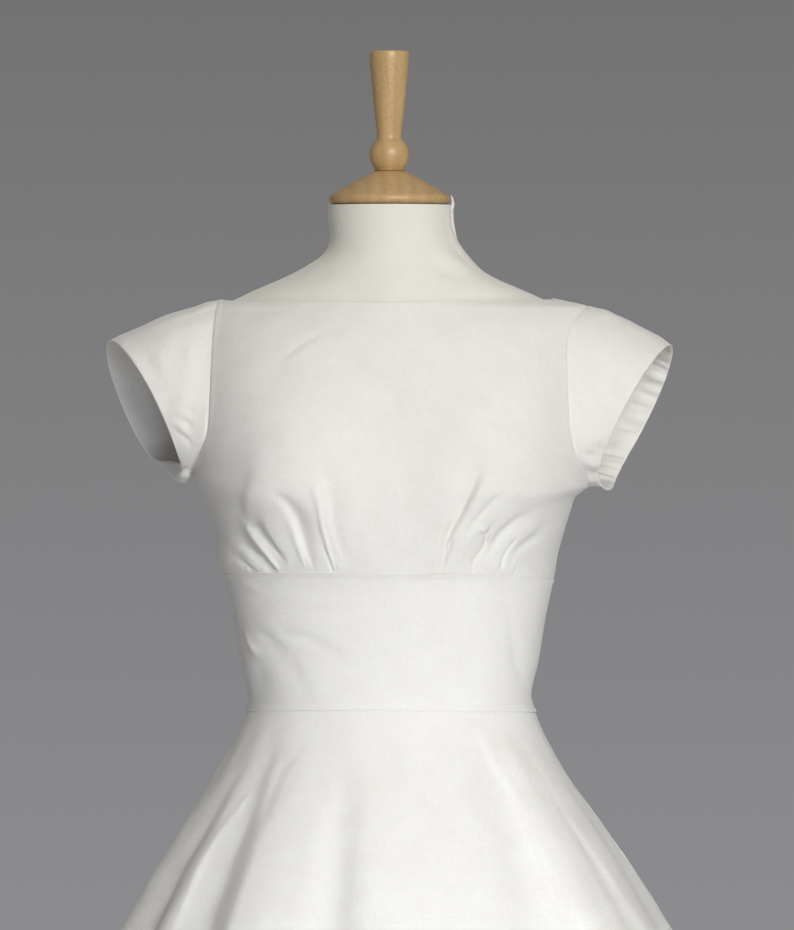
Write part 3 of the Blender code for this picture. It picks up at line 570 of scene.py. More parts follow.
# pleats, puffs and creases of the front as the photo shows them: millimetres across and up,
# then how far out they stand and their half widths to the left and right of the path's way
frontCreases = [
    # the wearer's right bust, from its outermost pleat inwards
    {"path": [(-97, 1158), (-108, 1169), (-118, 1178), (-126, 1189), (-131, 1202)],
     "depth": [-1.6, -3.4, -3.0, -1.2, 0], "left": [3, 5, 5, 6, 7], "right": [1.8, 2.6, 3.2, 4, 5]},
    {"path": [(-92, 1157), (-99.5, 1168), (-108, 1179), (-117, 1190.5), (-124.5, 1201.5)],
     "depth": [0.8, 1.8, 2.0, 1.6, 0.3], "left": [1.1, 1.5, 1.9, 2.4, 3],
     "right": [1.1, 1.6, 2.0, 2.6, 3]},
    {"path": [(-86, 1167), (-94.5, 1174.4), (-102.3, 1183), (-109.5, 1192), (-118, 1203)],
     "depth": [0, -1.8, -2.6, -2.4, -0.2], "left": [2, 2.4, 2.8, 3, 3.4], "right": [2.4, 3, 3.6, 4, 5]},
    # the full part of the bust that the pleats let out, rounder towards the side
    {"path": [(-84, 1164), (-93, 1180), (-102, 1197), (-108, 1214)],
     "depth": [0.4, 1.8, 2.2, 0.4], "left": [3, 4, 5, 7], "right": [7, 9, 11, 12]},
    {"path": [(-114, 1196), (-119, 1214), (-114, 1236), (-100, 1258)],
     "depth": [0.3, 2.2, 2.0, 0], "left": [5, 6, 8, 10], "right": [12, 15, 17, 16]},
    {"path": [(-70.5, 1158), (-74.2, 1170.6), (-79.6, 1187), (-82.5, 1197.5), (-88, 1209), (-98, 1221)],
     "depth": [0.5, 0.9, 1.0, 0.9, 0.8, 0.1], "left": [1.4, 2, 2.4, 3, 4, 5],
     "right": [1.2, 1.6, 2, 2.4, 3, 4]},
    {"path": [(-64, 1162), (-69, 1173), (-74, 1187), (-77, 1197.5), (-82.5, 1209), (-91, 1219.5),
              (-101, 1228)],
     "depth": [0, -1.9, -3.2, -3.8, -3.6, -2.4, 0], "left": [1.6, 2.4, 3.6, 4.6, 5.4, 6, 6],
     "right": [3, 5, 8, 9, 8, 6, 4]},
    {"path": [(-45.8, 1158), (-50, 1170.6), (-53.5, 1185), (-57.4, 1199), (-60.5, 1219), (-66, 1240)],
     "depth": [0.6, 1.5, 1.7, 1.6, 1.4, 0], "left": [1.6, 2, 2.4, 2.8, 3.6, 6],
     "right": [1.2, 1.7, 2.1, 2.5, 3.2, 5]},
    {"path": [(-34, 1167), (-38.5, 1174), (-43.5, 1186), (-47, 1200), (-49, 1217), (-52.5, 1237),
              (-60, 1254)],
     "depth": [0, -0.8, -1.6, -2.4, -3.2, -2.8, 0], "left": [2.5, 3, 3.5, 4, 4.5, 5, 6],
     "right": [3, 5, 7, 9, 11, 11, 11]},
    {"path": [(-47.7, 1158), (-51.3, 1170.6), (-57.6, 1183.4)],
     "depth": [-1.0, -1.2, 0], "left": [1.6, 1.8, 2], "right": [1.0, 1.1, 1.4]},
    {"path": [(-70.4, 1158), (-72.5, 1165)], "depth": [-1.0, 0], "left": [1.0, 1.2]},
    {"path": [(-107, 1166), (-121.4, 1175), (-131, 1182)],
     "depth": [0.5, 1.3, 0.2], "left": [2.6, 2.8, 3]},
    {"path": [(-114, 1158), (-125.6, 1168), (-134, 1175)],
     "depth": [-1.2, -1.5, -0.4], "left": [2, 2.4, 2.6], "right": [2, 2.4, 3]},
    # the wearer's left bust, from its innermost pleat outwards
    {"path": [(45.2, 1159), (46.8, 1169), (48.6, 1178), (50.8, 1187), (55, 1195.5), (61.5, 1207.5),
              (69, 1226), (74.5, 1243), (77.5, 1255)],
     "depth": [-1.6, -3.4, -4.6, -4.8, -4.8, -5.0, -4.8, -3.2, 0],
     "left": [3, 4, 5, 6, 9, 12, 15, 15, 15],
     "right": [1.0, 1.2, 1.5, 1.7, 2.2, 3.2, 4.6, 6, 8]},
    {"path": [(46.6, 1163), (49.6, 1173), (52.2, 1181), (54.6, 1190)],
     "depth": [-0.6, -2.2, -2.6, 0], "left": [1.1], "right": [1.1]},
    {"path": [(42, 1160), (44.5, 1175), (47, 1189), (53, 1202)],
     "depth": [0.5, 0.8, 0.5, 0], "left": [4, 6, 6, 6], "right": [1.4, 1.6, 2, 3]},
    {"path": [(62.5, 1185), (72.7, 1200.4), (81.2, 1210.3), (91, 1220.2), (104, 1228.5)],
     "depth": [0, -1.9, -2.0, -1.6, 0], "left": [1.8, 2.2, 2.4, 3, 4], "right": [2.4, 3, 3.4, 4, 5]},
    {"path": [(58, 1168), (64, 1182), (74, 1194), (84, 1204)],
     "depth": [0.3, 1.6, 1.4, 0], "left": [4, 5, 5, 5], "right": [4, 5, 5, 6]},
    {"path": [(72, 1160), (75, 1168.4), (80.6, 1176), (83.8, 1183.7), (84.2, 1191)],
     "depth": [-1.4, -3.0, -3.8, -4.2, -2.0], "left": [3, 4, 4, 3.4, 3],
     "right": [1.2, 1.4, 1.7, 1.9, 2]},
    {"path": [(84.2, 1190), (86.5, 1195), (87.6, 1201)],
     "depth": [-2.0, -2.2, 0], "left": [1.4, 1.8, 2], "right": [1.8, 2.2, 3]},
    {"path": [(74.5, 1197), (81.2, 1193.6), (86, 1192)],
     "depth": [0.4, 1.6, 0.3], "left": [1.6, 1.7, 1.6]},
    {"path": [(75.5, 1193), (80, 1190), (84, 1188)],
     "depth": [0, -1.4, -0.6], "left": [1.3, 1.4, 1.3]},
    {"path": [(79.5, 1167), (87, 1178), (94, 1188.5), (102.4, 1197), (113.5, 1205), (125, 1209)],
     "depth": [-0.8, -2.2, -2.8, -2.6, -1.8, 0], "left": [3, 3.4, 4, 4, 4.5, 5],
     "right": [3, 3.4, 4, 4.4, 5, 6]},
    {"path": [(95.4, 1162), (98.2, 1170.5), (102.4, 1178), (106.7, 1185), (109, 1189)],
     "depth": [-1.6, -2.8, -2.8, -1.6, 0], "left": [1.2, 1.3, 1.3, 1.3], "right": [1.0, 1.1, 1.1, 1.2]},
    {"path": [(90.5, 1161), (95.5, 1173), (101, 1184)],
     "depth": [0.4, 0.8, 0], "left": [3, 3, 3], "right": [1.4, 1.6, 2]},
    {"path": [(98.5, 1161), (104, 1172), (110, 1183), (122.3, 1195), (130, 1204)],
     "depth": [0.3, 0.7, 0.9, 1.4, 0.2], "left": [1.4, 2, 4, 5, 6], "right": [2.6, 3, 4, 4, 5]},
    {"path": [(101, 1163), (108, 1176.3), (115.2, 1182), (123.7, 1187.6), (133, 1196)],
     "depth": [-0.4, -1.8, -2.2, -1.8, 0], "left": [4, 5, 5.5, 6, 6], "right": [2.4, 2.8, 3.2, 4, 5]},
    # loose creases and the hollow between the busts
    {"path": [(-94, 1335), (-86, 1343), (-76, 1351), (-62, 1359), (-48, 1363.5)],
     "depth": [0, -0.8, -1.0, -0.8, 0], "left": [4.0], "right": [1.3]},
    {"path": [(-92, 1332), (-84, 1340), (-74, 1347.5), (-60, 1355)],
     "depth": [0, 0.5, 0.5, 0], "left": [1.4], "right": [5]},
    {"path": [(26, 1294.5), (43, 1313.5), (58, 1333)],
     "depth": [0, -0.6, 0], "left": [1.6], "right": [3.0]},
    {"path": [(-34, 1327), (-14.5, 1331.5), (5, 1336)],
     "depth": [0, -0.5, 0], "left": [2.4], "right": [1.6]},
    {"path": [(-55, 1316), (-38, 1317.5), (-21, 1322)],
     "depth": [0, -0.45, 0], "left": [2.6], "right": [1.6]},
    {"path": [(17, 1369), (34, 1366.5), (51, 1368)],
     "depth": [0, -0.45, 0], "left": [2.0], "right": [1.5]},
    {"path": [(-118, 1376), (-104, 1380), (-84, 1379)],
     "depth": [0, -0.5, 0], "left": [3.0], "right": [2.0]},
    {"path": [(84, 1352), (101, 1362), (124, 1366)],
     "depth": [0, -0.5, 0], "left": [3.4], "right": [2.2]},
    {"path": [(-20, 1284), (-8, 1292), (8, 1296)],
     "depth": [0, -0.45, 0], "left": [3.0], "right": [2.0]},
    {"path": [(19, 1170), (20, 1200), (17, 1230), (15, 1254)],
     "depth": [0, -1.1, -1.1, 0], "left": [10, 12, 12]},
    {"path": [(167, 1343), (158, 1330), (150, 1322)], "depth": [0.9, 0.7, 0], "left": [4, 5, 6]},
    {"path": [(-140, 1250), (-128, 1262), (-113, 1268)], "depth": [0, -0.8, 0], "left": [6, 7, 7]},
    {"path": [(-130, 1300), (-118, 1312), (-100, 1318)], "depth": [0, 0.7, 0], "left": [9, 10, 10]},
    {"path": [(60, 1305), (88, 1300), (110, 1306)], "depth": [0, 0.5, 0], "left": [10, 12, 10]},
    {"path": [(122, 1262), (112, 1280), (96, 1290)], "depth": [0, -0.6, 0], "left": [8, 9, 8]},
    {"path": [(-160, 1382), (-152, 1387), (-143, 1389.5), (-135, 1389.5)],
     "depth": [0.2, 0.6, 0.4, 0], "left": [2.2, 2.4, 2.4, 2]},
]
backCreases = [
    {"path": [(-20, 1170), (-52, 1196), (-84, 1205)], "depth": [-0.5, -1.1, 0], "left": [6, 9, 11]},
    {"path": [(16, 1166), (46, 1188), (88, 1196)], "depth": [-0.4, -1.0, 0], "left": [6, 8, 12]},
    {"path": [(-118, 1230), (-96, 1262), (-60, 1284)], "depth": [-0.9, -1.0, 0], "left": [7, 9, 12]},
    {"path": [(124, 1226), (98, 1256), (66, 1274)], "depth": [-0.8, -1.2, 0], "left": [7, 9, 12]},
    {"path": [(-100, 1330), (-70, 1336), (-30, 1330)], "depth": [0, 0.7, 0], "left": [8, 10, 9]},
    {"path": [(36, 1318), (74, 1330), (110, 1326)], "depth": [0, 0.8, 0], "left": [8, 9, 9]},
]
# small gathers that the seam's ease leaves between the pleats
seamEase = {"count": 36, "size": 0.0006, "up": 0.012, "reach": (0.030, 0.128), "wide": (0.0012, 0.0028),
            "lean": (0.1, 0.6), "seed": 11}
seamHold = {"above": 0.006, "deepest": 0.0005, "deepens": 0.9}  # the seam holds the cloth level


def edgeHeight(side, row):
    turn = quarter if side == "left" else -quarter
    seam = lineHeight(bustSeam, turn) + cloth["gap"]
    neck = lineHeight(neckEdge, turn)
    bottom, top = armholes[side]["height"][0], armholes[side]["height"][-1]
    below = seam + (bottom - seam) * np.interp(row, range(6), bodice["sideShares"])
    around = bottom + (top - bottom) * (1 - np.cos(math.pi * np.clip((row - 5) / 10, 0, 1))) / 2
    above = top + (neck - top) * np.clip((row - 15) / 2, 0, 1)
    return np.where(row < 5, below, np.where(row < 15, around, above))


def edgeTurn(side, row):
    height = edgeHeight(side, row)
    reach = smoothColumn(armholes[side]["height"], armholes[side]["reach"], height)
    share = np.clip(reach / lookUp(side, height), 0, 1)
    inside = (row > 5) & (row < 15)
    return np.where(inside, np.arcsin(share ** (lookUp("square", height) / 2)), quarter)


def bodicePoint(face, turn, row):
    right, left = edgeHeight("right", row), edgeHeight("left", row)
    edge = right + (left - right) * (1 + np.sin(turn)) / 2
    share = (edge - bustSeam["base"]) / (neckEdge["base"] - bustSeam["base"])
    low, high = bustSeam[face], neckEdge[face]
    height = edge + (low + (high - low) * share) * np.cos(turn)
    side = np.where(np.sin(turn) > 0, edgeTurn("left", row), edgeTurn("right", row))
    angle = turn * side / quarter
    return figureSurface(angle if face == "front" else math.pi - angle, height)


def easeHeight(points, up):
    dice = np.random.default_rng(seamEase["seed"])
    height = np.zeros(up.shape)
    for i in range(seamEase["count"]):
        sign = -1 if i % 2 else 1
        middle = sign * dice.uniform(*seamEase["reach"])
        wide = dice.uniform(*seamEase["wide"])
        size = seamEase["size"] * dice.uniform(-1.0, 1.0)
        lean = sign * dice.uniform(*seamEase["lean"])
        away = points[..., 0] - middle - lean * up
        height += size * np.exp(-(away / wide) ** 2 - (up / seamEase["up"]) ** 2)
    return height


def makeBodice():
    rows = np.concatenate([
        np.linspace(0, 5, bodice["sideRows"], endpoint=False),
        np.linspace(5, 15, bodice["armholeRows"], endpoint=False),
        np.linspace(15, 17, bodice["shoulderRows"]),
    ])[:, None]
    outer = quarter - cloth["gap"] / bodice["sideRadius"]
    centre = cloth["gap"] / bodice["backRadius"]
    stops = [-outer, *bodice["frontStops"], outer]
    front = [np.linspace(a, b, n, endpoint=False)
             for a, b, n in zip(stops, stops[1:], bodice["frontColumns"])]
    spans = {
        "front": np.concatenate(front + [[outer]]),
        "back_left": np.linspace(outer, centre, bodice["backColumns"]),
        "back_right": np.linspace(-centre, -outer, bodice["backColumns"]),
    }
    for suffix, turns in spans.items():
        face = suffix.split("_")[0]
        points = relaxed(bodicePoint(face, turns[None, :], rows), bodice["relax"])
        normals = gridNormals(points)
        up = edgeDistance(points, "bottom")
        if face == "front":
            height = creased(points, frontCreases) + easeHeight(points, up)
        else:
            height = creased(points, backCreases, fromBehind=True)
        rise = np.clip(up / seamHold["above"], 0, 1)
        deepest = -(seamHold["deepest"] + seamHold["deepens"] * up)
        height = np.where(height > 0, height * rise ** 2 * (3 - 2 * rise), np.maximum(height, deepest))
        height += unevenness(points, bodice, suffix)
        # seam allowances pressed under the panel's sides raise a soft ridge
        height = ridged(height, points, ("start", "end"), bodice["seamRidge"])
        points = moved(points, normals, height)
        wall = cloth["wall"] + bodice["hemStep"] * (edgeDistance(points, "top") < bodice["neckHem"])
        makeCloth("bodice_" + suffix, points, wall, flatCut(points),
                  rims=(cloth["cutEdge"], cloth["foldEdge"]))


makeBodice()
print("bodice made")

midriff = {"rows": 60, "frontColumns": 170, "backColumns": 86, "relax": 4,
           "edgeRidge": (0.0009, 0.0012, 0.0018), "rumple": 0.00020, "wave": 0.050,
           "seeds": {"front": 9, "back_left": 10, "back_right": 12}}
midriffCreases = [
    {"path": [(-123, 1107), (-120, 1100), (-115, 1091), (-108, 1085)],
     "depth": [0.4, 1.8, 1.7, 0], "left": [1.6, 2, 2.2, 2.6], "right": [1.8, 2.2, 2.6, 3.4]},
    {"path": [(-115, 1110), (-105, 1102), (-95, 1094), (-86, 1090)],
     "depth": [-0.4, -1.7, -1.6, 0], "left": [4, 5.5, 5.5, 6], "right": [5, 7, 8, 8]},
    {"path": [(-114, 1086), (-110, 1070), (-111, 1052)],
     "depth": [0, -1.3, -0.4], "left": [6, 7, 7], "right": [4, 7, 7]},
    {"path": [(-98, 1078), (-92, 1066), (-94, 1054)], "depth": [0, 0.6, 0], "left": [5, 6, 6]},
    {"path": [(-88, 1106), (-68, 1100), (-48, 1089), (-25, 1071)],
     "depth": [-0.6, -1.1, -0.7, 0], "left": [5, 6, 7]},
    {"path": [(-84, 1080), (-75, 1064), (-71, 1050)], "depth": [0, -1.1, -0.3], "left": [6, 8, 8]},
    {"path": [(-80, 1121), (-42, 1126), (-2, 1130)], "depth": [0, -0.9, 0], "left": [5, 6, 6]},
    {"path": [(-100, 1146), (-70, 1142), (-34, 1140), (-8, 1143)],
     "depth": [0, -0.5, -0.5, 0], "left": [5, 7, 7]},
    {"path": [(-124, 1150), (-112, 1143), (-100, 1140)], "depth": [0.6, 0.9, 0], "left": [3, 4, 5]},
    {"path": [(105, 1124), (105, 1106), (109, 1080), (119, 1054)],
     "depth": [0, -1.5, -1.5, -0.3], "left": [6, 7, 7, 6], "right": [4, 4, 4, 4]},
    {"path": [(-20, 1064), (20, 1060), (60, 1063)], "depth": [0, 0.35, 0], "left": [7, 8, 7]},
]


def panelAngles(frontColumns, backColumns):
    edge = cloth["gap"] / cloth["radius"]
    return {
        "front": np.linspace(-quarter + edge, quarter - edge, frontColumns),
        "back_left": np.linspace(quarter + edge, math.pi - edge, backColumns),
        "back_right": np.linspace(math.pi + edge, 3 * quarter - edge, backColumns),
    }


def makeMidriff():
    share = np.linspace(0, 1, midriff["rows"])[:, None]
    for suffix, angles in panelAngles(midriff["frontColumns"], midriff["backColumns"]).items():
        angle = angles[None, :]
        low = lineHeight(waistSeam, angle) + cloth["gap"]
        high = lineHeight(bustSeam, angle) - cloth["gap"]
        points = relaxed(figureSurface(angle, low + (high - low) * share), midriff["relax"])
        normals = gridNormals(points)
        height = creased(points, midriffCreases, fromBehind=suffix != "front")
        height += unevenness(points, midriff, suffix)
        # both long edges stand a little proud of what they are sewn to
        height = ridged(height, points, ("bottom", "top"), midriff["edgeRidge"])
        height = ridged(height, points, ("start", "end"), cloth["seamRidge"])
        points = moved(points, normals, height)
        makeCloth("midriff_" + suffix, points, cloth["wall"], flatCut(points))


makeMidriff()
print("midriff made")

# how far the skirt has spread outwards, by the length of cloth below the waist seam
flare = {
    "along": [0.000, 0.008, 0.017, 0.026, 0.045, 0.065, 0.085, 0.126, 0.166, 0.206, 0.300, 0.400, 0.500,
              0.600, 0.660],
    "spread": [0.0000, 0.0028, 0.0065, 0.0099, 0.0195, 0.0301, 0.0407, 0.0633, 0.0845, 0.1049, 0.1495,
               0.1950, 0.2380, 0.2780, 0.3010],
}
skirt = {"rows": 156, "frontColumns": 250, "backColumns": 120, "length": 0.660, "spacing": 1.35,
         "soften": 3.0, "leastDrop": 0.2, "hem": 0.022, "hemStep": 0.0003, "hemSoft": 0.0008,
         "waistDip": (-0.0003, 0, 0.0016), "settle": 0.10, "narrow": 0.55, "growth": 0.85,
         "rumple": 0.00030, "wave": 0.060, "around": 0.25, "calmTop": 0.05,
         "cutSpread": 0.50, "cutInset": 0.215,
         "seeds": {"front": 13, "back_left": 14, "back_right": 15}}
# flutes: their middles near the waist and at the hem in degrees from the centre front, how far
# they stand out at the hem in millimetres, their half widths in degrees towards the wearer's
# right and left, and how far below the waist seam they start
skirtFolds = [
    (-71, -77, 8, 7, 7, 0.030),
    (-60, -65, -18, 9, 5, 0.055),
    (-53, -56, 5, 5, 8, 0.040),
    (-46, -43.5, -24, 11, 6.4, 0.026),
    (-33, -33, 12, 5, 14, 0.026),
    (-14, -12, -17, 6, 5.5, 0.040),
    (-6, -4.5, 8, 4.5, 9, 0.040),
    (14, 14, -8, 10, 9, 0.035),
    (32, 35, -25, 12, 6.5, 0.012),
    (47, 50, 22, 9, 28, 0.020),
    (57, 59, -4.5, 3.5, 4, 0.035),
    (77, 80, -5, 8, 8, 0.060),
    (92, 91, 16, 8, 8, 0.060),
    (104, 105, -26, 6, 6, 0.040),
    (117, 119, 26, 8, 8, 0.050),
    (134, 133, -30, 6.5, 6.5, 0.030),
    (147, 148, 22, 8, 8, 0.060),
    (163, 162, -20, 6, 6, 0.050),
    (177, 177, 18, 8, 8, 0.060),
    (192, 194, -24, 7, 7, 0.040),
    (208, 209, 26, 8, 8, 0.050),
    (225, 224, -32, 6, 6, 0.030),
    (238, 239, 24, 7, 7, 0.050),
    (253, 254, -22, 6, 6, 0.060),
    (269, 269, -10, 9, 9, 0.060),
]
# the crests' sharper edges, and small creases
skirtCreases = [
    {"path": [(-78, 1003.5), (-101, 981.4), (-109, 951.6), (-118, 913.4), (-136, 857), (-150, 800)],
     "depth": [0.1, 0.5, 0.8, 1.0, 1.0, 0], "left": [2.8, 3.4, 4, 4.4, 5, 5],
     "right": [5, 7, 9, 10, 11, 12]},
    {"path": [(-125, 957.6), (-138, 944), (-158, 915), (-170, 890), (-184, 857), (-200, 815)],
     "depth": [0.1, 0.6, 0.9, 0.8, 0.9, 0], "left": [2.6, 3, 3.4, 4, 4, 5], "right": [3, 4, 5, 6, 6, 7]},
    {"path": [(81, 1016), (93, 992), (104, 976), (119, 945), (136, 908), (166, 855), (192, 805)],
     "depth": [0.2, 0.8, 1.2, 1.5, 1.7, 1.7, 0], "left": [5, 7, 8, 9, 10, 11, 12],
     "right": [2, 2.2, 2.4, 2.6, 3, 3, 3]},
    {"path": [(76, 1014), (88, 989), (99, 973), (114, 942), (130, 905), (160, 852), (186, 802)],
     "depth": [-0.3, -1.1, -1.7, -2.1, -2.3, -2.1, 0], "left": [2, 2.2, 2.4, 2.6, 2.8, 3, 3],
     "right": [5, 7, 8, 9, 10, 11, 12]},
    {"path": [(125, 985), (152, 945), (180, 905), (213, 855), (230, 820)],
     "depth": [0, -0.6, -0.8, -0.8, 0], "left": [2.2, 2.4, 2.6, 3], "right": [5, 6, 7, 7]},
    {"path": [(-120, 966), (-126, 960), (-130, 953)], "depth": [0.6, 1.2, 0], "left": [2, 2.4, 3]},
    {"path": [(-78, 1002), (-92, 990), (-104, 978)], "depth": [-0.5, -0.8, 0], "left": [3, 4, 4]},
    {"path": [(-150, 930), (-164, 900), (-176, 872)], "depth": [0, 1.0, 0.2], "left": [4, 4, 5]},
    {"path": [(-40, 900), (-20, 896), (4, 902)], "depth": [0, 0.5, 0], "left": [6, 8, 8]},
    {"path": [(60, 950), (72, 940), (84, 938)], "depth": [0, -0.5, 0], "left": [6, 7, 7]},
    {"path": [(-60, 930), (-44, 918), (-30, 920)], "depth": [0, -0.5, 0], "left": [6, 7, 7]},
]


def foldRise(angle, along):
    rise = np.zeros(np.broadcast(angle, along).shape)
    for high, low, out, right, left, start in skirtFolds:
        below = np.clip(along - start, 0, None)
        growth = (below / (skirt["length"] - start)) ** skirt["growth"]
        settle = 1 - np.exp(-below / skirt["settle"])
        middle = np.radians(high + (low - high) * settle)
        narrow = skirt["narrow"] + (1 - skirt["narrow"]) * settle
        away = np.remainder(angle - middle + math.pi, 2 * math.pi) - math.pi
        wide = np.radians(np.where(away > 0, left, right) * narrow)
        rise += out / 1000 * growth * np.exp(-(away / wide) ** 2)
    return rise


def skirtSurface(angles, alongs):
    # each meridian keeps its cut length: what the cloth spreads outwards, it doesn't drop
    waist = figureSurface(angles, lineHeight(waistSeam, angles) - cloth["gap"])
    outward = np.stack([np.sin(angles), -np.cos(angles)], -1)
    spread = softened(smoothColumn(flare["along"], flare["spread"], alongs), skirt["soften"])
    reach = (spread - spread[0])[:, None] + foldRise(angles[None, :], alongs[:, None])
    plan = waist[None, :, :2] + outward[None] * reach[..., None]
    run = np.linalg.norm(np.diff(plan, axis=0), axis=-1)
    step = np.diff(alongs)[:, None]
    drop = np.sqrt(np.maximum(step ** 2 - run ** 2, (skirt["leastDrop"] * step) ** 2))
    height = waist[None, :, 2] - np.concatenate([np.zeros((1, len(angles))), np.cumsum(drop, 0)])
    return np.concatenate([plan, height[..., None]], -1)


def makeSkirt():
    alongs = skirt["length"] * np.linspace(0, 1, skirt["rows"]) ** skirt["spacing"]
    for suffix, angles in panelAngles(skirt["frontColumns"], skirt["backColumns"]).items():
        points = skirtSurface(angles, alongs)[::-1]
        normals = gridNormals(points)
        height = creased(points, skirtCreases, fromBehind=suffix != "front")
        down = edgeDistance(points, "top")
        uneven = rumple(angles[None, :] * skirt["around"], down, skirt["rumple"], skirt["wave"],
                        skirt["seeds"][suffix])
        height += uneven * np.clip(down / skirt["calmTop"], 0, 1)
        # the hem is turned up twice, and its upper fold shows as a faint step
        fromHem = edgeDistance(points, "bottom")
        height += skirt["hemStep"] / (1 + np.exp((fromHem - skirt["hem"]) / skirt["hemSoft"]))
        height = ridged(height, points, ("top",), skirt["waistDip"])
        height = ridged(height, points, ("start", "end"), cloth["seamRidge"])
        points = moved(points, normals, height)
        folded = edgeDistance(points, "bottom") < skirt["hem"]
        wall = cloth["wall"] + (cloth["hemWall"] - cloth["wall"]) * folded
        # the weave lies straight on the flat cut, a sector of a ring
        sector = (angles - angles.mean())[None, :] * skirt["cutSpread"]
        ring = skirt["cutInset"] + down
        cut = np.stack([ring * np.sin(sector), -ring * np.cos(sector)], -1)
        makeCloth("skirt_" + suffix, points, wall, cut, rims=(cloth["foldEdge"], cloth["cutEdge"]))


makeSkirt()
print("skirt made")

# hem: an oval round centre, with up and front as its half axes and a squarer lower half; its
# lowest end is moved outwards and up by tail, and sag is how far outwards and down the cloth
# bunches at the underarm
sleeves = {
    "columns": 250, "rows": 62, "straight": 0.0025, "crown": 0.004, "hem": 0.014, "hemStep": 0.0005,
    "hemSoft": 0.0012, "hemSwell": 0.00025, "around": 0.058, "spacing": 1.1, "rumple": 0.00024,
    "wave": 0.035, "relax": 8, "facing": 0.15, "bunchRise": 5, "bunchFall": 12,
    "gatherWave": 0.0085, "gatherStretch": 0.1, "gatherPlace": 0.7, "gatherReach": 0.012,
    "gatherFrom": 0.5, "gatherTurn": 0.1,
    "right": {"centre": (-0.2103, 0.0, 1.2970), "up": (-0.0253, 0.0, 0.0585),
              "front": (0.0198, -0.055, 0.0), "square": 0.80,
              "tail": (0.000, 0.0145), "tailSpread": 0.62, "sag": (0.0015, 0.0140),
              "sagSpread": 0.52, "gather": 0.0003, "seed": 22},
    "left": {"centre": (0.2078, 0.0, 1.2910), "up": (0.0297, 0.0, 0.0612),
             "front": (-0.0168, -0.055, 0.0), "square": 0.95,
             "tail": (0.0085, -0.001), "tailSpread": 0.55, "sag": (0.0, -0.0020),
             "sagSpread": 0.60, "gather": 0.0009, "seed": 21},
}
sleeveCreases = {
    "right": [
        {"path": [(-184, 1286), (-176, 1281), (-170, 1274)],
         "depth": [0.3, 1.3, 0.2], "left": [2.4, 2.6, 3]},
        {"path": [(-180, 1290), (-172, 1286), (-166, 1280)],
         "depth": [-0.4, -1.2, 0], "left": [2.2, 2.4, 3]},
        {"path": [(-180, 1278), (-172, 1272), (-166, 1262)],
         "depth": [-0.5, -1.1, 0], "left": [2.2, 2.6, 3]},
        {"path": [(-178, 1300), (-170, 1297), (-163, 1292)],
         "depth": [0, -0.8, 0], "left": [2.4, 2.8, 3]},
        {"path": [(-183, 1249), (-176, 1246), (-168, 1247)],
         "depth": [-0.6, -1.8, -0.4], "left": [2.0, 2.2, 2.4]},
        {"path": [(-184, 1243), (-177, 1241), (-168, 1241)],
         "depth": [0.4, 1.5, 0.6], "left": [2.4, 2.6, 2.6]},
        {"path": [(-203, 1360), (-196, 1340), (-186, 1325)], "depth": [0, 0.8, 0], "left": [6, 8, 8]},
        {"path": [(-172, 1362), (-170, 1345), (-168, 1326)], "depth": [0, 0.7, 0], "left": [5, 6, 6]},
        {"path": [(-214, 1352), (-200, 1330), (-190, 1304)], "depth": [0, -0.8, 0], "left": [5, 7, 7]},
        {"path": [(-166, 1378), (-158, 1380), (-149, 1383)],
         "depth": [0, -0.7, -0.2], "left": [1.8, 2.2, 2.2]},
        {"path": [(-164, 1383), (-154, 1387), (-144, 1388)],
         "depth": [0.2, 1.2, 0.8], "left": [2.2, 2.6, 2.6]},
    ],
    "left": [
        {"path": [(171, 1345), (163, 1332), (155, 1318)],
         "depth": [-0.4, -1.2, 0], "left": [3, 4, 5], "right": [5, 7, 8]},
        {"path": [(164, 1262), (172, 1258), (180, 1260)],
         "depth": [-0.4, -1.4, 0], "left": [2.2, 2.4, 2.6]},
        {"path": [(166, 1254), (174, 1250), (182, 1253)],
         "depth": [0.4, 1.4, 0], "left": [2.4, 2.6, 2.8]},
        {"path": [(167, 1247), (175, 1243), (183, 1246)],
         "depth": [-0.5, -1.5, 0], "left": [2.2, 2.4, 2.6]},
        {"path": [(170, 1238), (178, 1236), (184, 1240)],
         "depth": [0.4, 1.2, 0], "left": [2.4, 2.6, 2.6]},
        {"path": [(168, 1270), (178, 1272), (188, 1280)], "depth": [0, 1.0, 0], "left": [3, 4, 5]},
        {"path": [(214, 1350), (206, 1334), (200, 1318)], "depth": [0, 0.8, 0], "left": [6, 8, 8]},
        {"path": [(196, 1372), (204, 1362), (208, 1352)], "depth": [0, -1.0, 0], "left": [5, 6, 6]},
        {"path": [(171, 1385), (181, 1385), (191, 1377)], "depth": [0.2, 1.8, 0.2], "left": [5, 6, 6]},
        {"path": [(158, 1318), (172, 1330), (190, 1352)], "depth": [0, -0.8, 0], "left": [4, 6, 6]},
        {"path": [(172, 1268), (184, 1262), (192, 1262)],
         "depth": [-0.3, -1.2, 0], "left": [2.4, 2.8, 3]},
    ],
}


def armholeRim(side, turn):
    # once round the armhole from the underarm: up the front, over, and down the back
    edge = np.full(turn.shape, quarter if side == "left" else -quarter)
    over = turn > math.pi
    row = 5 + 10 * np.where(over, 2 - turn / math.pi, turn / math.pi)
    return np.where(over[..., None], bodicePoint("back", edge, row), bodicePoint("front", edge, row))


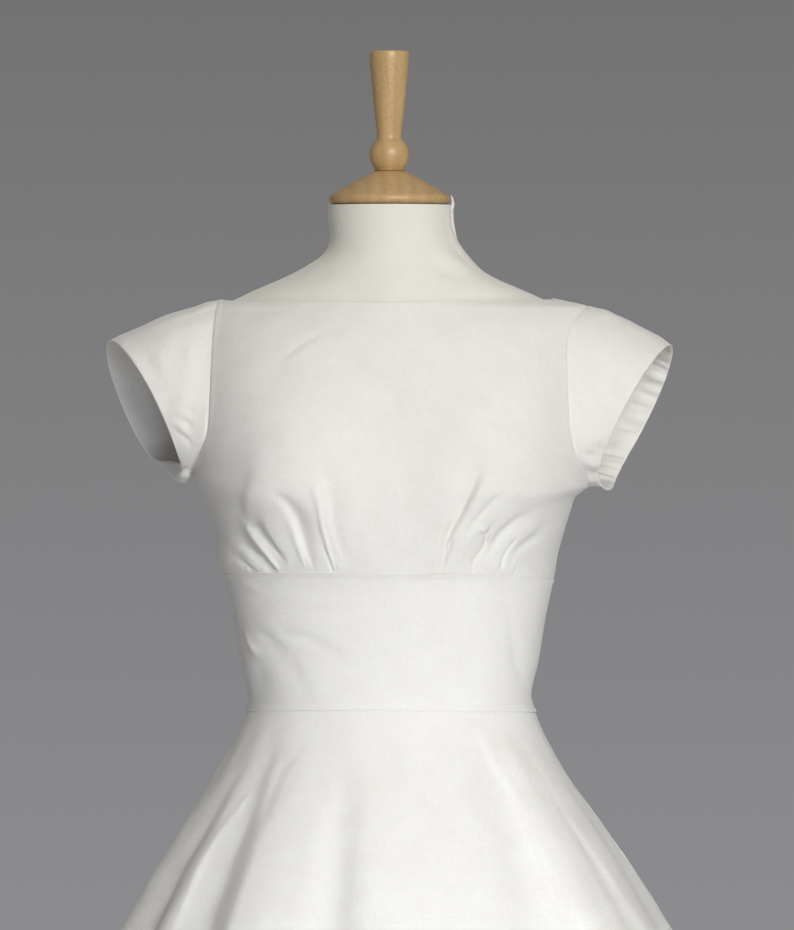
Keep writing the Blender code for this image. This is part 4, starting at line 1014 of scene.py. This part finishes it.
def makeSleeves():
    for side in ("right", "left"):
        look = sleeves[side]
        outwards = np.array([1.0 if side == "left" else -1.0, 0, 0])
        turn = np.linspace(0, 2 * math.pi, sleeves["columns"], endpoint=False)
        if side == "left":
            turn = turn[::-1]
        rim = armholeRim(side, turn) + outwards * cloth["gap"]
        start = rim + outwards * sleeves["straight"]
        share = np.linspace(0, 1, sleeves["rows"])[:, None] ** sleeves["spacing"]
        low = np.minimum(turn, 2 * math.pi - turn)  # how far round from the underarm
        power = np.where(np.cos(turn) > 0, look["square"], 1.0)
        end = np.array(look["centre"]) - np.array(look["up"]) * signedPower(np.cos(turn), power)[:, None]
        end = end + np.array(look["front"]) * signedPower(np.sin(turn), power)[:, None]
        tail = np.exp(-(low / look["tailSpread"]) ** 2)
        end[:, 0] += outwards[0] * look["tail"][0] * tail
        end[:, 2] += look["tail"][1] * tail
        body = start[None] + (end - start)[None] * share[..., None]
        swell = sleeves["crown"] * np.sin(math.pi * share) * (1 - np.cos(turn))[None, :] / 2
        body = body + np.stack([0 * turn, -np.sin(turn), -np.cos(turn)], -1)[None] * swell[..., None]
        bunch = np.exp(-(low / look["sagSpread"]) ** 2)[None, :]
        bunch = bunch * (1 - (1 - share) ** sleeves["bunchRise"]) * (1 - share ** sleeves["bunchFall"])
        body[..., 0] += outwards[0] * look["sag"][0] * bunch * share
        body[..., 2] -= look["sag"][1] * bunch
        points = relaxed(np.concatenate([rim[None], body]), sleeves["relax"], closed=True)
        normals = gridNormals(points, closed=True)
        height = creased(points, sleeveCreases[side]) * (normals[..., 1] < sleeves["facing"])
        down, fromHem = edgeDistance(points, "bottom"), edgeDistance(points, "top")
        around = turn * sleeves["around"]
        height += rumple(around[None, :], down, sleeves["rumple"], sleeves["wave"], look["seed"])
        # the hem draws the back of the sleeve into small gathers, away from the underarm
        ripple = rumple(around[None, :], down * sleeves["gatherStretch"], look["gather"],
                        sleeves["gatherWave"], look["seed"] + 10)
        behind = 1 / (1 + np.exp(-normals[..., 1] / sleeves["gatherTurn"]))
        behind = behind * (1 - np.exp(-(low / sleeves["gatherFrom"]) ** 4))
        away = fromHem - sleeves["hem"] * sleeves["gatherPlace"]
        height += ripple * behind * np.exp(-(away / sleeves["gatherReach"]) ** 2)
        height += edgeBump(points, "top", sleeves["hemSwell"], 0, sleeves["hem"])
        points = moved(points, normals, height)
        folded = 1 + np.exp((fromHem - sleeves["hem"]) / sleeves["hemSoft"])
        wall = cloth["wall"] + sleeves["hemStep"] / folded
        cut = np.stack([np.broadcast_to(around, down.shape), down], -1)
        makeCloth("sleeve_" + side, points, wall, cut, rims=(cloth["cutEdge"], cloth["foldEdge"]),
                  closed=True)


makeSleeves()
print("sleeves made")

form = {"columns": 180, "lowRows": 90, "highRows": 110, "split": 1.34, "armEnd": 0.1475, "top": 1.4705,
        "bottom": 0.780, "inside": 0.0003, "relax": 12, "sharp": 40}
# the jersey's seam and drag lines, as on the dress
formCreases = [
    {"path": [(53, 1469), (53, 1457), (57, 1442), (68, 1426), (84, 1410)],
     "depth": [0.9, 0.9, 0.8, 0.5, 0], "left": [1.4, 1.4, 1.6, 2]},
    {"path": [(33, 1440), (58, 1424), (90, 1403)], "depth": [0, 1.3, 0.3], "left": [4, 5, 6]},
    {"path": [(26, 1432), (48, 1416), (70, 1404)], "depth": [0, -1.3, 0], "left": [4, 5, 6]},
    {"path": [(46, 1446), (62, 1430), (82, 1415)], "depth": [0, -0.7, 0], "left": [2.4, 3, 4]},
    {"path": [(-40, 1426), (-62, 1412), (-90, 1400)], "depth": [0, -0.5, 0], "left": [4, 6, 7]},
]


def makeForm():
    low = np.linspace(form["bottom"], form["split"], form["lowRows"], endpoint=False)
    heights = np.concatenate([low, np.linspace(form["split"], form["top"], form["highRows"])])
    angle = np.linspace(0, 2 * math.pi, form["columns"], endpoint=False)[None, :]
    points = relaxed(figureSurface(angle, heights[:, None]), form["relax"], closed=True)
    normals = gridNormals(points, closed=True)
    height = creased(points, formCreases) * (normals[..., 1] < 0)
    points = moved(points, normals, height - lookUp("ease", heights)[:, None] - form["inside"])
    points[0, :, 2] = form["bottom"]
    points[-1, :, 2] = form["top"]
    points[..., 0] = np.clip(points[..., 0], -form["armEnd"], form["armEnd"])
    mesh = newMesh("form_torso", points, tubeFaces(*points.shape[:2]))
    mesh.shade_smooth()
    mesh.set_sharp_from_angle(angle=math.radians(form["sharp"]))
    newPiece("form_torso", mesh, jersey, "jersey")


def settled(piece, material, body="dress_and_form"):
    # a finished piece keeps its place in its mesh
    bpy.ops.object.transform_apply(location=True, rotation=True, scale=True)
    piece.data.materials.clear()
    piece.data.materials.append(material)
    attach(piece, body)


def rounded(piece, width, segments=3):
    bevel = piece.modifiers.new("Edges", "BEVEL")
    bevel.width = width
    bevel.segments = segments
    bpy.ops.object.modifier_apply(modifier=bevel.name)
    bpy.ops.object.shade_smooth_by_angle(angle=math.radians(35))


def makeBlock(name, size, place):
    bpy.ops.object.select_all(action="DESELECT")
    bpy.ops.mesh.primitive_cube_add(size=1, location=place)
    piece = bpy.context.object
    piece.name = name
    piece.scale = size
    bpy.ops.object.transform_apply(location=False, rotation=False, scale=True)
    return piece


def resizeEnd(piece, axis, way, scale):
    # resizes the end of a block that faces one way
    bpy.ops.object.mode_set(mode="EDIT")
    bpy.ops.mesh.select_all(action="DESELECT")
    bpy.ops.object.mode_set(mode="OBJECT")
    far = max(way * vertex.co[axis] for vertex in piece.data.vertices)
    for vertex in piece.data.vertices:
        vertex.select = way * vertex.co[axis] > far - 1e-6
    bpy.ops.object.mode_set(mode="EDIT")
    bpy.ops.mesh.select_mode(type="VERT")
    bpy.ops.transform.resize(value=scale)
    bpy.ops.object.mode_set(mode="OBJECT")


# the jersey's seam allowance stands out beside the neck and curls over the cap's edge:
# metres out and up its middle, and its half thickness and half depth there
neckTab = {
    "out": [0.0566, 0.0536, 0.0522, 0.0519, 0.0534, 0.0530, 0.0522],
    "up": [1.4410, 1.4500, 1.4580, 1.4650, 1.4712, 1.4755, 1.4783],
    "thin": [0.0010, 0.0021, 0.0024, 0.0024, 0.0018, 0.0013, 0.0007],
    "deep": [0.0020, 0.0040, 0.0050, 0.0052, 0.0046, 0.0034, 0.0016],
    "along": 40, "sides": 20, "forward": -0.002,
}


def makeNeckTab():
    places = np.linspace(0, 1, neckTab["along"])[:, None]
    knots = np.linspace(0, 1, len(neckTab["up"]))
    out, up, thin, deep = (smoothColumn(knots, neckTab[key], places)
                           for key in ("out", "up", "thin", "deep"))
    turn = np.linspace(0, 2 * math.pi, neckTab["sides"], endpoint=False)[None, :]
    x, y = out + thin * np.cos(turn), neckTab["forward"] + deep * np.sin(turn)
    points = np.stack(np.broadcast_arrays(x, y, up), -1)
    mesh = newMesh("form_seam_tab", points, tubeFaces(*points.shape[:2]))
    mesh.shade_smooth()
    newPiece("form_seam_tab", mesh, jersey, "jersey", replaces=False)


makeForm()
makeNeckTab()
print("form made")


def arc(centre, radius, start, end, steps):
    # profile points on a circle; degrees from straight up, turning outwards
    turns = np.radians(np.linspace(start, end, steps + 1))
    return [(centre[0] + radius * math.sin(t), centre[1] + radius * math.cos(t)) for t in turns]


def turned(node, profile, sides):
    # a disc at the foot, extruded and resized up the profile, as on a lathe
    bpy.ops.object.select_all(action="DESELECT")
    radius, height = profile[0]
    bpy.ops.mesh.primitive_circle_add(vertices=sides, radius=radius, fill_type="NGON",
                                      location=(0, 0, height))
    piece = bpy.context.object
    piece.name = node + "_beech"
    bpy.ops.object.mode_set(mode="EDIT")
    bpy.ops.mesh.select_all(action="SELECT")
    for (before, low), (after, high) in zip(profile, profile[1:]):
        bpy.ops.mesh.extrude_region_move(TRANSFORM_OT_translate={"value": (0, 0, high - low)})
        scale = after / before
        bpy.ops.transform.resize(value=(scale, scale, 1), center_override=(0, 0, high))
    bpy.ops.mesh.select_all(action="SELECT")
    bpy.ops.mesh.normals_make_consistent(inside=False)
    bpy.ops.object.mode_set(mode="OBJECT")
    bpy.ops.object.shade_smooth_by_angle(angle=math.radians(35))
    settled(piece, beech)
    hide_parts(node)


neckCap = {"foot": 1.4708, "radius": 0.0512, "top": 1.4992, "edge": 0.0044}
handle = {"foot": 1.4994, "ball": 0.0170, "ballHeight": 1.5128, "top": 1.6002, "rim": 0.0016}
stand = {"radius": 0.190, "thickness": 0.026, "edge": 0.012, "boss": 0.028, "bossTop": 0.045,
         "pole": 0.0125, "poleTop": 0.7331, "collar": 0.030, "collarFoot": 0.7334,
         "collarTop": 0.7674, "rest": 0.0003}


def makeWood():
    foot, rim, edge = neckCap["foot"], neckCap["radius"], neckCap["edge"]
    cap = [(rim - 0.0100, foot)] + arc((rim - edge, foot + edge + 0.0002), edge, 168, 34, 14)
    cap += [(0.0468, 1.4806), (0.0440, 1.4824), (0.0408, 1.4844), (0.0372, 1.4865), (0.0332, 1.4888),
            (0.0290, 1.4912), (0.0246, 1.4936), (0.0196, 1.4963), (0.0156, 1.4982), (0.0136, 1.4990),
            (0.0120, neckCap["top"])]
    turned("form_neck_cap", cap, 96)

    foot, top = handle["foot"], handle["top"]
    shape = [(0.0124, foot), (0.0134, foot + 0.0008)]
    shape += arc((0.0, handle["ballHeight"]), handle["ball"], 134, 41, 16)
    shape += [(0.0107, 1.5265), (0.0105, 1.5285), (0.0107, 1.5315), (0.0111, 1.5355), (0.0120, 1.5435),
              (0.0131, 1.5527), (0.0142, 1.5635), (0.0151, 1.5731), (0.0160, 1.5835), (0.0167, 1.5930)]
    shape += arc((0.0170 - handle["rim"], top - handle["rim"]), handle["rim"], 84, 4, 8)
    turned("form_handle", shape, 72)

    wide, thick, edge = stand["radius"], stand["thickness"], stand["edge"]
    boss, top = stand["boss"], stand["bossTop"]
    base = [(wide - 0.003, 0.0), (wide, 0.003)] + arc((wide - edge, thick - edge), edge, 90, 0, 8)
    base += [(boss + 0.014, thick), (boss + 0.006, thick + 0.0015), (boss + 0.002, thick + 0.005),
             (boss, top - 0.003), (boss - 0.0008, top - 0.0009), (boss - 0.003, top)]
    turned("stand_base", base, 96)

    rod, foot, top = stand["pole"], stand["bossTop"] + stand["rest"], stand["poleTop"]
    pole = [(rod - 0.0004, foot), (rod, foot + 0.0004), (rod, top - 0.0004), (rod - 0.0004, top)]
    turned("stand_pole", pole, 48)

    wide, foot, top = stand["collar"], stand["collarFoot"], stand["collarTop"]
    collar = [(rod + 0.004, foot), (rod + 0.005, foot + 0.001), (rod + 0.0065, top - 0.024),
              (rod + 0.008, top - 0.016), (wide - 0.004, top - 0.0125), (wide - 0.0006, top - 0.0105),
              (wide, top - 0.009), (wide, top - 0.002), (wide - 0.0006, top - 0.0006),
              (wide - 0.002, top)]
    turned("stand_collar", collar, 64)
    bpy.data.objects["form_base_plate"].material_slots[0].material = beech


makeWood()
print("wood turned")

# the zip's slider lies on the centre back seam; its place and lean are the CAD's
zipSet = {"height": 1.3700, "lean": 0.3660, "seatGap": 0.0003, "body": (0.0050, 0.0024, 0.0090),
          "ear": (0.0008, 0.0027, 0.0026), "pin": 0.0016, "barrel": 0.0011, "barrelGap": 0.0003,
          "tab": (0.0046, 0.0010, 0.0170), "neck": 0.0075, "frame": 0.0011, "bodyRound": 0.00045,
          "round": 0.0002, "barrelRound": 0.00015}


def joined(pieces):
    bpy.ops.object.select_all(action="DESELECT")
    for piece in pieces:
        piece.select_set(True)
    bpy.context.view_layer.objects.active = pieces[0]
    bpy.ops.object.join()
    return pieces[0]


def onZip(piece, seat):
    # turns a piece made upright at the origin onto the leaning back
    piece.rotation_euler.x = zipSet["lean"]
    piece.location = seat


def makeZip():
    seat = Vector(figureSurface(math.pi, zipSet["height"]))
    wide, thick, long = zipSet["body"]
    middle = zipSet["seatGap"] + thick / 2
    body = makeBlock("zip_slider_enamel", (wide, thick, long), (0, middle, 0))
    resizeEnd(body, 2, -1, (0.62, 1.0, 1.0))
    resizeEnd(body, 2, 1, (0.86, 1.0, 1.0))
    rounded(body, zipSet["bodyRound"])
    top = zipSet["seatGap"] + thick
    ears = []
    for sign in (-1, 1):
        width, rise, length = zipSet["ear"]
        place = (sign * (wide - width) / 2, top + rise / 2, 0)
        ear = makeBlock("ear", (width, rise + 0.0003, length), place)
        resizeEnd(ear, 1, 1, (1.0, 1.0, 0.6))
        rounded(ear, zipSet["round"])
        ears.append(ear)
    slider = joined([body] + ears)
    bpy.ops.object.transform_apply(location=True, rotation=True, scale=True)
    onZip(slider, seat)
    settled(slider, enamel)
    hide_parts("zip_slider")

    pin = top + zipSet["pin"]
    half = wide / 2 - zipSet["ear"][0] - zipSet["barrelGap"]
    width, thin, length = zipSet["tab"]
    tab = makeBlock("zip_pull_tab_enamel", (width, thin, length - zipSet["neck"]),
                    (0, pin, -(length + zipSet["neck"]) / 2))
    # a window through the tab's broad end, then a narrow neck up to the barrel
    bpy.ops.object.mode_set(mode="EDIT")
    bpy.ops.mesh.select_all(action="SELECT")
    bpy.ops.mesh.subdivide(number_cuts=1)
    bpy.ops.mesh.select_all(action="DESELECT")
    bpy.ops.object.mode_set(mode="OBJECT")
    for face in tab.data.polygons:
        face.select = abs(face.normal.y) > 0.9
    bpy.ops.object.mode_set(mode="EDIT")
    bpy.ops.mesh.select_mode(type="FACE")
    bpy.ops.mesh.inset(thickness=zipSet["frame"], use_individual=False)
    bpy.ops.mesh.bridge_edge_loops()
    bpy.ops.object.mode_set(mode="OBJECT")
    rounded(tab, zipSet["round"], 2)
    neck = makeBlock("neck", (2 * half * 0.8, thin, zipSet["neck"] + 0.0004),
                     (0, pin, -zipSet["neck"] / 2))
    rounded(neck, zipSet["round"], 2)
    bpy.ops.object.select_all(action="DESELECT")
    bpy.ops.mesh.primitive_cylinder_add(vertices=32, radius=zipSet["barrel"], depth=2 * half,
                                        location=(0, pin, 0), rotation=(0, quarter, 0))
    barrel = bpy.context.object
    rounded(barrel, zipSet["barrelRound"], 2)
    tab = joined([tab, neck, barrel])
    bpy.ops.object.transform_apply(location=True, rotation=True, scale=True)
    onZip(tab, seat)
    settled(tab, enamel, "pull_tab")
    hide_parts("zip_pull_tab")


makeZip()
print("zip made")

camera = {"place": (0.0064, -3.2, 1.407), "aim": (0.0064, 0.0, 1.2500), "lens": 145.9, "film": 36}
lights = {
    "key": {"place": (0.9, -3.1, 2.4), "aim": (0, 0, 1.1), "size": (1.3, 1.3), "power": 83,
            "colour": (0.992, 1.0, 0.982), "spread": 180},
    "low": {"place": (0.5, -2.5, 0.42), "aim": (0, 0, 0.56), "size": (1.4, 0.7), "power": 3.2,
            "colour": (0.78, 0.84, 1.0), "spread": 43},
    "top": {"place": (0.05, 0.1, 3.2), "aim": (0, 0, 1.4), "size": (1.4, 1.4), "power": 4,
            "colour": (1.0, 0.985, 0.95), "spread": 180},
    "back": {"place": (-1.1, 3.0, 2.0), "aim": (0, 0, 0.9), "size": (2.0, 2.0), "power": 32,
             "colour": (1.0, 0.99, 0.97), "spread": 180, "mirrored": False},
}
backdrop = {"high": (0.170, 0.167, 0.168), "low": (0.262, 0.264, 0.276), "from": -0.17, "to": 0.08}
floor = {"radius": 3.0, "below": 0.0004, "pale": (0.56, 0.56, 0.555), "shade": (0.52, 0.52, 0.515)}


def makeCamera():
    bpy.ops.object.camera_add(location=camera["place"])
    eye = bpy.context.object
    away = Vector(camera["aim"]) - Vector(camera["place"])
    eye.rotation_euler = away.to_track_quat("-Z", "Y").to_euler()
    eye.data.sensor_fit = "VERTICAL"
    eye.data.sensor_height = camera["film"]
    eye.data.lens = camera["lens"]
    eye.data.clip_end = 50
    bpy.context.scene.camera = eye


def makeLights():
    for name, look in lights.items():
        lamp = bpy.data.lights.new(name, "AREA")
        lamp.shape = "RECTANGLE"
        lamp.size, lamp.size_y = look["size"]
        lamp.energy = look["power"]
        lamp.color = look["colour"]
        lamp.spread = math.radians(look["spread"])
        thing = bpy.data.objects.new(name, lamp)
        thing.visible_glossy = look.get("mirrored", True)
        thing.location = look["place"]
        away = Vector(look["aim"]) - Vector(look["place"])
        thing.rotation_euler = away.to_track_quat("-Z", "Y").to_euler()
        bpy.context.scene.collection.objects.link(thing)


def makeWall():
    # plain grey all round, a little lighter low down
    world = bpy.data.worlds.new("studio")
    bpy.context.scene.world = world
    world.use_nodes = True
    nodes, links = world.node_tree.nodes, world.node_tree.links
    way = nodes.new("ShaderNodeTexCoord")
    split = nodes.new("ShaderNodeSeparateXYZ")
    ranged = nodes.new("ShaderNodeMapRange")
    mix = nodes.new("ShaderNodeMix")
    mix.data_type = "RGBA"
    ranged.inputs["From Min"].default_value = backdrop["from"]
    ranged.inputs["From Max"].default_value = backdrop["to"]
    mix.inputs[6].default_value = (*backdrop["low"], 1)
    mix.inputs[7].default_value = (*backdrop["high"], 1)
    links.new(way.outputs["Generated"], split.inputs[0])
    links.new(split.outputs["Z"], ranged.inputs["Value"])
    links.new(ranged.outputs[0], mix.inputs[0])
    links.new(mix.outputs[2], nodes["Background"].inputs["Color"])


def makeFloor():
    bpy.ops.object.select_all(action="DESELECT")
    bpy.ops.mesh.primitive_circle_add(vertices=96, radius=floor["radius"], fill_type="NGON",
                                      location=(0, 0, -floor["below"]))
    disc = bpy.context.object
    disc.name = "floor"
    bpy.ops.object.transform_apply(location=True, rotation=True, scale=True)
    finish = Finish("floorPale", floor["pale"], 0.75)
    grain = finish.ranged(finish.noise(finish.onPiece(), 14.0, 3.0), 0.35, 0.65)
    finish.colour(finish.mixed(grain, floor["pale"], floor["shade"]))
    disc.data.materials.append(finish.material)


makeCamera()
makeLights()
makeWall()
makeFloor()
bpy.context.scene.view_settings.view_transform = "Standard"
print("studio made")
